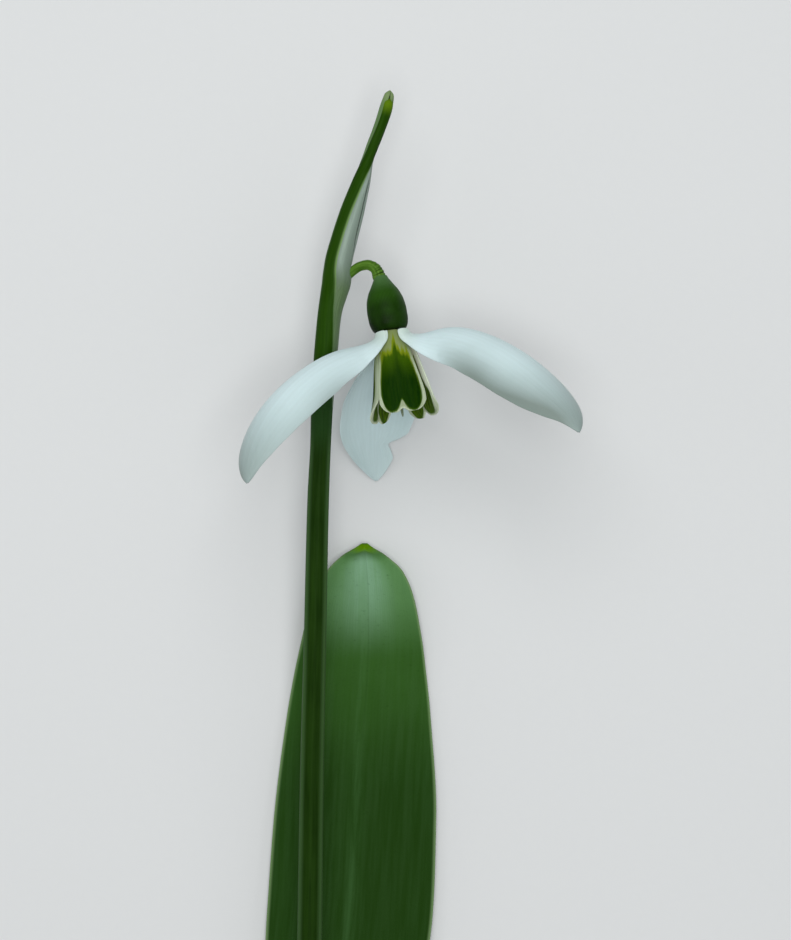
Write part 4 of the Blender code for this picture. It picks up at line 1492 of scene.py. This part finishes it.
@dataclass
class InnerPetal:
    """One of the three inner petals that form the bell: a curved panel that ends in two rounded lobes.

    Each cross-section is an arc on either side of the midrib, with its own turn to either margin.

    Attributes:
        name: the piece's name.
        node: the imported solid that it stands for.
        azimuth: turn round the flower from the viewer's side.
        length: along the midrib, with the lobes.
        turn_low: share of the length, turn of the arc from the midrib to the margin at local -X, in degrees.
        turn_high: likewise to local +X.
        flare: share of the length, how far the petal stands out further from the bell.
        spread: share of the length, factors on the half-width to local -X and +X.
        skew: how much further the lobe to local +X reaches.
        sinus: depth of the notch between the lobes, and its width as a share of the half-width.
        corner: how far the lobes' outer corners are rounded off.
        shift: how far the bell sits to +X of the ovary's axis.
        lean: its further turn about +Z, in degrees.
        foot_depth: how far under the ovary it starts.
        radius: share of the length, distance of the midrib from the flower's axis.
        half_width: share of the length, arc from the midrib to a margin.
        mark_top: place across, share of the length where the green mark starts.
        mark_bottom: place across, share of the length where it ends.
        mark_side: share of the length, place across where it ends sideways.
        mark_shift: how far the mark's sides lie to -X, as a share of the half-width.
        inner_side: share of the length, place across where the green inside ends sideways.
        thick: thickness in the middle.
        rim: half-thickness at the margins.
        furrows: height of the lengthwise furrows, and how many lie between midrib and margin.
        rows: rows from foot to lobes.
        cols: points in a row.
    """

    head: Head
    name: str
    node: str
    azimuth: float
    length: float = 10.9
    turn_low: Keys = ((0, 35), (1, 35))
    turn_high: Keys = ((0, 35), (1, 35))
    flare: Keys = ((0, 0), (1, 0))
    spread: Keys = ((0, 1, 1), (1, 1, 1))
    skew: float = 0.0
    sinus: tuple[float, float] = (0.45, 0.16)
    corner: float = 1.5
    shift: float = 0.2
    lean: float = -2.0
    foot_depth: float = 0.15
    radius: Keys = ((0.0, 1.15), (0.12, 1.65), (0.3, 2.3), (0.6, 2.9), (0.85, 3.3), (1.0, 3.5))
    half_width: Keys = (
        (0.0, 0.75), (0.06, 1.0), (0.13, 1.48), (0.25, 1.98), (0.4, 2.25), (0.53, 2.55),
        (0.62, 2.78), (0.8, 3.12), (0.9, 3.15), (1.0, 3.1),
    )
    thick: float = 0.34
    rim: float = 0.03
    furrows: tuple[float, float] = (0.03, 2.0)
    mark_top: Keys = (
        (0, 0.115), (0.05, 0.14), (0.11, 0.205), (0.22, 0.255), (0.36, 0.285), (0.6, 0.285),
        (1, 0.33),
    )
    mark_bottom: Keys = (
        (0, 0.85), (0.03, 0.865), (0.09, 0.908), (0.2, 0.955), (0.33, 0.983), (0.47, 0.988),
        (0.62, 0.962), (0.7, 0.93), (0.78, 0.87), (0.86, 0.79), (1, 0.6),
    )
    mark_side: Keys = (
        (0.28, 0.73), (0.4, 0.79), (0.5, 0.82), (0.6, 0.835), (0.72, 0.82), (0.85, 0.79),
        (1, 0.7),
    )
    mark_shift: float = 0.03
    inner_side: Keys = (
        (0.3, 0.57), (0.55, 0.57), (0.67, 0.7), (0.76, 0.81), (0.83, 0.81), (0.93, 0.68),
        (1, 0.58),
    )
    rows: int = 150
    cols: int = 100

    def mark(self, share: np.ndarray, u: np.ndarray) -> dict[str, np.ndarray]:
        """Where the green lies: the least distance from the mark's top, bottom and side, as a value.

        Inside, each lobe has its own green, parted by pale lines: the high powers of a cosine across it.

        Args:
            share: share of the length of each grid point.
            u: place across of each grid point.

        Returns:
            The fields "mark" and "stripes", a half at their edges, and "mark_depth".
        """
        side = np.abs(u)
        top = eased(self.mark_top, side) + 0.025 * u
        bottom = eased(self.mark_bottom, side)
        beside = (eased(self.mark_side, share) - np.abs(u + self.mark_shift)) * 0.3
        least = np.minimum(np.minimum(share - top, bottom - share), beside)
        lines = (0.5 + 0.5 * np.cos(2 * math.pi * side / 0.25)) ** 6
        lobe = np.minimum(eased(self.inner_side, share) - side, side - 0.09) * 0.3
        inner = np.minimum(np.minimum(share - 0.3, bottom - 0.01 - share), lobe)
        return {
            "mark": np.clip(0.5 + least * (4 + 10 * soft_step(0.2, 0.5, share)), 0, 1),
            "mark_depth": np.clip((share - top) / (0.9 - top), 0, 1),
            "stripes": np.clip(0.5 + np.minimum(inner * 10, 0.5 - 0.55 * lines), 0, 1),
        }

    def faces(self) -> tuple:
        """Works the petal out: rows run from its foot to the lobed end, columns from margin to margin.

        Returns:
            The outer and the inner face, the place across, share of the length, and flow of each grid point.
        """
        u = even_to_edges(self.cols)
        sinus = self.sinus[0] * np.exp(-((u / self.sinus[1]) ** 2))
        length = self.length - sinus - self.corner * np.abs(u) ** 5 + self.skew * u
        even = np.linspace(0, 1, self.rows)[:, None]
        run = (even + 0.05 * np.sin(math.pi * even)) * length
        share = run / self.length
        spread = eased(self.spread, share)
        half = eased(self.half_width, share) * np.where(u < 0, spread[..., 0], spread[..., 1])
        turn = np.radians(np.where(u < 0, eased(self.turn_low, share), eased(self.turn_high, share)))
        depth, count = self.furrows
        furrow = depth * np.cos(2 * math.pi * count * u) * soft_step(0.2, 0.7, share)
        radius = eased(self.radius, share) + eased(self.flare, share) + furrow
        inward = half * (1 - np.cos(turn * u)) / turn
        middle = stacked(half * np.sin(turn * u) / turn, inward - radius, -self.foot_depth - run)
        rim = np.sqrt(np.clip(1 - np.abs(u) ** 5, 0, 1)) * (1 - 0.75 * soft_step(0.9, 1.0, even))
        normal = normals(middle)
        outwards = -np.sign(normal[:, self.cols // 2, 1].mean())
        offset = outwards * normal * (self.thick / 2 * rim + self.rim)[..., None]
        outer, inner = (
            self.head.place(middle + side * offset, self.azimuth, self.lean) + (self.shift, 0, 0)
            for side in (1, -1)
        )
        return outer, inner, u, share, stacked(u * half + self.azimuth, 0, run)

    def build(self, finish: bpy.types.Material) -> bpy.types.Object:
        """Makes the petal with the fields that its green is drawn by."""
        outer, inner, across, share, flow = self.faces()
        end = soft_step(0.965, 1.0, np.linspace(0, 1, self.rows))[:, None]
        rim = np.maximum(soft_step(0.6, 0.95, np.abs(across)), end)
        fields = {"across": across, "along": share, "rim": rim} | self.mark(share, across)
        return settle(sheet(outer, inner, flow, fields), self.name, self.node, finish)


@dataclass
class Stamens:
    """Six pointed anthers on short feet, in a ring round the style, on the small disc between the petals.

    Attributes:
        count: number of anthers.
        ring: radius of their ring, at the foot and along the sac.
        shape: depth below the disc, share of the anther's radius.
        groove: depth of the groove between its two sacs as a share of its radius.
        anther_radius: radius of an anther where its shape is 1.
        disc: radius and thickness of the disc.
        disc_from: depth of the disc's upper face under the ovary.
        disc_grid: rings of the disc, and points in a ring.
        anther_grid: likewise for an anther.
    """

    head: Head
    count: int = 6
    ring: tuple[float, float] = (0.35, 1.0)
    anther_radius: float = 0.36
    shape: Keys = (
        (0.0, 0.32), (0.8, 0.34), (1.25, 0.7), (1.7, 1.0), (3.2, 0.95), (5.0, 0.6),
        (5.7, 0.3), (6.1, 0.08),
    )
    groove: float = 0.22
    disc: tuple[float, float] = (0.6, 0.6)
    disc_from: float = -0.05
    disc_grid: tuple[int, int] = (6, 40)
    anther_grid: tuple[int, int] = (90, 26)

    def build(self, finish: bpy.types.Material) -> bpy.types.Object:
        """Makes the disc and the anthers.

        An anther's radius dips where the cosine of twice its turn from the style's side is high.
        """
        radius, thick = self.disc
        rows, sides = self.disc_grid
        rings = rounds(radius, -self.disc_from - np.linspace(0, thick, rows), sides)
        rings, flow, _ = domed(rings, rings, (0.05, 0.05))
        surface = tube(self.head.place(rings), flow, {"pollen": 0.0})
        rows, sides = self.anther_grid
        run = np.linspace(0, self.shape[-1][0], rows)
        foot = self.disc_from + thick / 2
        ring = self.ring[0] + (self.ring[1] - self.ring[0]) * soft_step(0, 1.6, run)
        size = self.anther_radius * eased(self.shape, run)
        for index in range(self.count):
            angle = 2 * math.pi * (index + 0.5) / self.count
            grooved = 0.5 + 0.5 * np.cos(2 * (turns(sides) - angle))
            cleft = 1 - self.groove * grooved * soft_step(1.0, 1.8, run)[:, None]
            middle = stacked(ring * math.cos(angle), ring * math.sin(angle), 0)
            rings = middle[:, None] + rounds(size[:, None] * cleft, -foot - run, sides)
            rings, flow, _ = domed(rings, rings, (0.02, 0.03), steps=6)
            pollen = soft_step(0.7, 1.7, -flow[..., 2] - foot)
            surface = surface.joined(tube(self.head.place(rings), flow, {"pollen": pollen}))
        return settle(surface, "anthers", "stamens", finish)


@dataclass
class Style:
    """The slender style, whose tip stands just out of the bell.

    Attributes:
        start: how deep under the ovary it starts.
        end: how deep it ends.
        radius: its radius where its shape is 1.
        shape: share of its length, share of its radius.
        lean: its further turn about +Z, in degrees.
        rows: rings along it.
        sides: points in a ring.
    """

    head: Head
    start: float = 0.5
    end: float = 10.95
    radius: float = 0.27
    shape: Keys = ((0, 0.9), (0.06, 1.0), (0.6, 1.0), (0.9, 0.72), (0.97, 0.5), (1, 0.3))
    lean: float = -0.4
    rows: int = 120
    sides: int = 28

    def build(self, finish: bpy.types.Material) -> bpy.types.Object:
        """Makes the turned needle, its radius eased along it."""
        share = np.linspace(0, 1, self.rows)
        radius = self.radius * eased(self.shape, share)[:, None]
        rings = rounds(radius, -self.start - (self.end - self.start) * share, self.sides)
        rings, flow, _ = domed(rings, rings, (0.05, 0.1), steps=6)
        along = (-flow[..., 2] - self.start) / (self.end - self.start)
        surface = tube(self.head.place(rings, lean=self.lean), flow, {"along": np.clip(along, 0, 1)})
        return settle(surface, "style_needle", "style", finish)


@dataclass
class Leaf:
    """The broad leaf that the flower lies on: it clasps the stalk below and ends in a hooded tip.

    Attributes:
        foot_x: x of the midrib at the cut.
        sections: distance from the cut, x of the midrib from foot_x, height of the back, half-widths to -X
            and +X, and the turn from midrib to margin.
        rest: half-width of the flat strip under the midrib, its ends along y, and the length of its fades.
        rest_most: share of a half-width that the strip takes at most.
        thick: thickness at the midrib.
        channel: depth and half-width of the channel over the midrib.
        rim: thickness at the margins.
        ripple: height of the lengthwise ripples, and the distance from one to the next.
        knob: height of the swelling at the tip, and its distance from it.
        callus_length: length of the yellow-green point at the tip.
        rows: sections from the cut to the tip.
        side_cols: points from the midrib to a margin.
    """

    foot_x: float = -5.2
    sections: Keys = (
        (0.0, 0.0, 1.0, 6.05, 6.05, 124),
        (13.0, 0.0, 1.0, 6.05, 6.05, 124),
        (19.0, 0.6, 0.5, 6.85, 6.85, 96),
        (26.0, 1.45, 0.1, 7.7, 7.8, 66),
        (34.0, 2.8, 0.0, 8.8, 9.0, 42),
        (44.0, 4.6, 0.0, 10.15, 10.2, 26),
        (56.0, 5.95, 0.0, 10.95, 10.75, 18),
        (68.0, 6.6, 0.0, 10.7, 10.5, 16),
        (81.4, 7.4, 0.0, 9.8, 8.95, 16),
        (87.0, 7.8, 0.0, 9.25, 8.0, 18),
        (92.0, 8.0, 0.12, 8.45, 7.25, 22),
        (97.0, 8.0, 0.4, 7.05, 6.35, 30),
        (100.2, 7.9, 0.75, 5.45, 5.15, 38),
        (102.3, 7.8, 1.15, 3.15, 2.9, 44),
        (103.3, 7.76, 1.45, 1.2, 1.1, 40),
        (103.8, 7.76, 1.65, 0.35, 0.35, 20),
    )
    rest: tuple[float, float, float, float] = (3.6, -26.0, 20.0, 8.0)
    rest_most: float = 0.45
    thick: float = 0.68
    channel: tuple[float, float] = (0.1, 0.9)
    rim: float = 0.07
    ripple: tuple[float, float] = (0.018, 1.9)
    knob: tuple[float, float] = (0.35, 0.5)
    callus_length: float = 1.25
    rows: int = 360
    side_cols: int = 52

    def back(self) -> tuple[np.ndarray, np.ndarray, np.ndarray, np.ndarray]:
        """Back surface in sections square to Y, its y, the place across and the distance across it."""
        low, _ = box("leaf")
        length = self.sections[-1][0]
        run = length * np.sin(np.linspace(0, math.pi / 2, self.rows)) ** 0.9
        x, back, left, right, turn = eased(self.sections, run).T
        y = low[1] + run
        width, rest_from, rest_to, fade = self.rest
        strip = width * soft_step(-1, 0, np.minimum(y - rest_from, rest_to - y) / fade)
        share = np.sin(np.linspace(0, math.pi / 2, self.side_cols + 1))
        sides, spans = [], []
        for sign, half in ((-1, left), (1, right)):
            flat = np.minimum(strip, half * self.rest_most)[:, None]
            s = half[:, None] * share
            rate = np.radians(turn)[:, None] / (half[:, None] - flat)
            bend = rate * np.clip(s - flat, 0, None)
            across = self.foot_x + x[:, None] + sign * (np.minimum(s, flat) + np.sin(bend) / rate)
            height = back[:, None] + (1 - np.cos(bend)) / rate
            sides.append(stacked(across, y[:, None], height))
            spans.append(sign * s)
        grid, span = (np.concatenate([first[:, :0:-1], then], axis=1) for first, then in (sides, spans))
        return grid, y, np.concatenate([-share[:0:-1], share]), span

    def build(self, finish: bpy.types.Material) -> bpy.types.Object:
        """Thickens the back upwards, thinner to the rim, with the channel pressed into the upper face."""
        back, y, u, span = self.back()
        normal = normals(back)
        normal = np.where(normal[:, len(u) // 2, 2].mean() < 0, -normal, normal)
        rim = np.sqrt(np.clip(1 - np.abs(u) ** 3, 0, 1))
        depth, width = self.channel
        tip = (y.max() - y)[:, None]
        groove = depth * np.exp(-((span / width) ** 2)) * soft_step(0, 12, tip)
        rise, pitch = self.ripple
        ripple = rise * np.sin(2 * math.pi * span / pitch) * soft_step(1.0, 3.0, np.abs(span)) * rim
        body = self.thick * (0.45 + 0.55 * rim) * soft_step(-6, 3.0, tip)
        swelling, place = self.knob
        knob = swelling * np.exp(-(((tip - place) / place) ** 2))
        height = np.clip(body * rim - groove + ripple + knob * rim, 0, None) + self.rim
        upper = back + normal * height[..., None]
        along = ((y - y.min()) / (y.max() - y.min()))[:, None]
        fields = {"across": u, "along": along, "callus": soft_step(self.callus_length, 0.2, tip)}
        surface = sheet(upper, back, stacked(span, 0, y[:, None]), fields)
        return settle(surface, "leaf_blade", "leaf", finish)


@dataclass
class BasalSheath:
    """The papery tube round the foot of leaf and stalk, with a slanted, slightly torn mouth.

    Attributes:
        bore: inner radius.
        wall: thickness at the cut.
        mouth: y of its furthest edge, and how much its other side falls short.
        flutes: number of lengthwise pleats, and their height.
        rows: rings along it.
        sides: points in a ring.
    """

    bore: float = 3.1
    wall: float = 0.55
    mouth: tuple[float, float] = (-51.5, 3.0)
    flutes: tuple[int, float] = (17, 0.05)
    rows: int = 90
    sides: int = 170

    def build(self, finish: bpy.types.Material) -> bpy.types.Object:
        """Makes the wall: round rings that follow the slant, pleated by a cosine and thin at the mouth."""
        low, high = box("basal_sheath")
        middle = (low + high) / 2
        turn = turns(self.sides)
        furthest, slant = self.mouth
        torn = 0.18 * np.sin(13 * turn) * np.sin(5 * turn + 1) + 0.1 * np.sin(31 * turn)
        end = furthest - 0.25 - slant * (1 + np.sin(turn)) / 2 + torn
        share = np.linspace(0, 1, self.rows)[:, None]
        y = low[1] + (end - low[1]) * share
        count, rise = self.flutes
        pleat = rise * np.cos(count * turn) * (0.4 + 0.6 * share)
        wall = self.wall * (1 - 0.7 * soft_step(0.55, 1.0, share))
        outer, inner = (
            stacked(middle[0] + radius * np.cos(turn), y, middle[2] + radius * np.sin(turn))
            for radius in (self.bore + wall + pleat - 0.05, self.bore + 0.02)
        )
        surface = sheet(outer, inner, outer[..., [0, 2, 1]], {"along": share}, ring=True)
        return settle(surface, "sheath_sleeve", "basal_sheath", finish)


@dataclass
class Flower:
    """The nodding flower: ovary, three outer petals, the bell of three inner petals, stamens and style.

    Attributes:
        effects: the shared effects of its finishes.
        head: the frame that its parts share.
    """

    effects: Effects
    head: Head = field(default_factory=Head)

    def outer_petals(self) -> list[OuterPetal]:
        """The three outer petals with their own bends."""
        return [
            OuterPetal(
                self.head,
                "outer_petal_to_left",
                "outer_petal_left",
                azimuth=-67.0,
                length=28.9,
                width=(1.05, 0.93),
                cup=1.0,
                roll=22.0,
                painted_shade=0.95,
                slope=((0, 80), (0.06, 30), (0.12, 8), (0.3, 24), (0.6, 44), (0.85, 66), (1, 92)),
                margin_high=((0, 1), (0.05, 1.25), (0.12, 1.3), (0.22, 1.12), (0.35, 1), (1, 1)),
                foot=(1.7, 0.2),
                swing=22.0,
            ),
            OuterPetal(
                self.head,
                "outer_petal_to_right",
                "outer_petal_right",
                azimuth=68.0,
                length=29.3,
                width=(1.15, 0.88),
                cup=1.0,
                roll=-31.0,
                painted_shade=1.0,
                slope=((0, 74), (0.06, 18), (0.12, 0), (0.3, 28), (0.6, 48), (0.85, 60), (1, 90)),
                margin_low=((0, 1), (0.05, 1.25), (0.12, 1.3), (0.22, 1.12), (0.35, 1), (1, 1)),
                margin_high=((0, 1), (0.05, 0.85), (0.1, 0.82), (0.2, 1), (1, 1)),
                foot=(2.1, 0.3),
                swing=-10.0,
                start=(1.95, 0.25),
            ),
            OuterPetal(
                self.head,
                "outer_petal_behind",
                "outer_petal_rear",
                azimuth=-166.5,
                length=24.3,
                width=(1.25, 0.78),
                cup=0.75,
                roll=0.0,
                painted_shade=0.4,
                slope=((0, 80), (0.06, 38), (0.12, 20), (0.3, 20), (0.6, 37), (0.85, 57), (1, 80)),
                tucked=((0, 1), (0.7, 1), (0.76, 0.8), (0.8, 0.5), (0.84, 0.66), (0.89, 0.88), (1, 1)),
                margin_low=((0, 1), (0.45, 1), (0.64, 0.92), (0.77, 0.93), (0.9, 1), (1, 1)),
                margin_high=((0, 1), (0.5, 1), (0.7, 1.08), (0.88, 1.06), (1, 1)),
            ),
        ]

    def inner_petals(self) -> list[InnerPetal]:
        """The three petals of the bell; the one towards the viewer lies over its neighbours."""
        return [
            InnerPetal(
                self.head,
                "inner_petal_to_viewer",
                "inner_petal_front",
                azimuth=3.0,
                lean=-1.6,
                length=11.0,
                spread=((0, 1, 1), (0.25, 1.07, 1.02), (0.5, 1, 1.05), (0.8, 0.93, 1.04), (1, 0.93, 0.99)),
            ),
            InnerPetal(
                self.head,
                "inner_petal_to_right",
                "inner_petal_right",
                azimuth=125.0,
                lean=-1.1,
                turn_low=((0, 20), (1, 20)),
                turn_high=((0, 12), (1, 10)),
                flare=((0, 0), (0.82, 0), (1, 0.15)),
                spread=((0, 1, 1), (0.75, 1, 1), (1, 1.3, 0.92)),
                skew=-0.34,
                sinus=(0.7, 0.16),
                corner=1.1,
            ),
            InnerPetal(
                self.head,
                "inner_petal_to_left",
                "inner_petal_left",
                azimuth=-118.5,
                lean=-2.9,
                length=11.2,
                turn_low=((0, 20), (1, 20)),
                turn_high=((0, 40), (0.7, 76), (1, 18)),
                flare=((0, 0), (0.82, 0), (1, -0.4)),
                spread=((0, 1, 1), (0.35, 1, 1.2), (0.7, 1, 0.95), (1, 0.69, 1.2)),
                skew=0.46,
                mark_shift=0.18,
                sinus=(0.4, 0.16),
                corner=1.3,
            ),
        ]

    def build(self) -> None:
        """Makes and dresses every piece of the flower."""
        fx = self.effects
        Ovary(self.head).build(OvaryFinish("ovary_skin", fx, shine=0.05).material())
        petal_white = PetalFinish(
            "petal_white", fx, sheen=0.06, scatter=0.18, scatter_reach=(0.9, 1.0, 0.9), shine=0.2
        ).material()
        for petal in self.outer_petals():
            petal.build(petal_white)
        inner_white = InnerPetalFinish(
            "inner_petal_marked", fx, scatter=0.12, scatter_reach=(0.8, 0.9, 0.6), shine=0.03
        ).material()
        for petal in self.inner_petals():
            petal.build(inner_white)
        Stamens(self.head).build(PollenFinish("pollen_orange", fx, scatter=0.1, shine=0.25).material())
        Style(self.head).build(StyleFinish("style_pale_green", fx, scatter=0.15).material())


# ---------------------------------------------------------------- the studio


@dataclass
class Studio:
    """Pale floor, soft light and a long lens that looks straight down.

    Attributes:
        eye: camera's place in millimetres.
        lens: focal length in millimetres.
        lights: each light's name, place, aim, size and power.
        sky: colour of the light all round, and its strength.
        floor: distance of the floor's edges from the middle, and its depth.
    """

    eye: tuple[float, float, float] = (6.547, 49.26, 466.7)
    lens: float = 137.87
    lights: tuple = (
        ("key", (-30.0, 260.0, 420.0), (4.0, 50.0, 10.0), 320.0, 0.72),
        ("front", (20.0, 20.0, 560.0), (4.0, 45.0, 10.0), 260.0, 1.2),
        ("fill", (300.0, -60.0, 330.0), (4.0, 40.0, 10.0), 300.0, 0.13),
        ("left", (-330.0, 40.0, 200.0), (4.0, 40.0, 10.0), 240.0, 0.13),
    )
    sky: tuple[Colour, float] = ((0.96, 0.98, 1.0), 0.38)
    floor: tuple[float, float] = (1200.0, 0.02)

    def _place(self, name: str, data: bpy.types.ID, place: tuple[float, float, float]) -> bpy.types.Object:
        """Links a camera or a light to the scene at a place in millimetres."""
        made = bpy.data.objects.new(name, data)
        made.location = np.array(place) * MM
        bpy.context.scene.collection.objects.link(made)
        return made

    def set_camera(self) -> None:
        """Adds the camera, which looks straight down unless it is turned."""
        lens = bpy.data.cameras.new("camera")
        lens.lens = self.lens
        lens.clip_start = 10 * MM
        bpy.context.scene.camera = self._place("camera", lens, self.eye)

    def set_lights(self) -> None:
        """Adds the round lamps and the light of the sky."""
        for name, place, aim, size, power in self.lights:
            lamp = bpy.data.lights.new(name, "AREA")
            lamp.shape = "DISK"
            lamp.size = size * MM
            lamp.energy = power
            toward = Vector(np.array(aim) - np.array(place))
            self._place(name, lamp, place).rotation_euler = toward.to_track_quat("-Z", "Y").to_euler()
        world = bpy.data.worlds.new("soft_room")
        world.use_nodes = True
        backdrop = world.node_tree.nodes["Background"]
        colour, strength = self.sky
        backdrop.inputs["Color"].default_value = (*colour, 1.0)
        backdrop.inputs["Strength"].default_value = strength
        bpy.context.scene.world = world

    def lay_floor(self, effects: Effects) -> None:
        """Lays a square floor under the flower."""
        mesh = bpy.data.meshes.new("floor")
        reach, depth = self.floor
        around = ((-reach, -reach), (reach, -reach), (reach, reach), (-reach, reach))
        mesh.from_pydata([(x * MM, y * MM, -depth * MM) for x, y in around], [], [(0, 1, 2, 3)])
        mesh.materials.append(FloorFinish("floor_pale", effects, shine=0.2).material())
        floor = bpy.data.objects.new("floor", mesh)
        bpy.context.scene.collection.objects.link(floor)

    def build(self, effects: Effects) -> None:
        """Sets up the whole studio."""
        bpy.context.scene.view_settings.view_transform = "Standard"
        self.set_camera()
        self.set_lights()
        self.lay_floor(effects)


def main() -> None:
    """Builds the studio and every piece of the snowdrop."""
    logging.basicConfig(level=logging.INFO, format="%(name)s: %(message)s")
    effects = Effects()
    Studio().build(effects)
    Scape().build(StalkFinish("stalk_skin", effects, shine=0.03).material())
    Spathe().build(
        KeelFinish("keel_green", effects, shine=0.03).material(),
        MembraneFinish("membrane_pale", effects, sheen=0.05, scatter=0.1, shine=0.2).material(),
    )
    Pedicel().build(PedicelFinish("pedicel_skin", effects, shine=0.05).material())
    Flower(effects).build()
    Leaf().build(LeafFinish("leaf_wax", effects, shine=0.03).material())
    BasalSheath().build(SheathFinish("sheath_paper", effects, scatter=0.15).material())


if __name__ == "__main__":
    main()
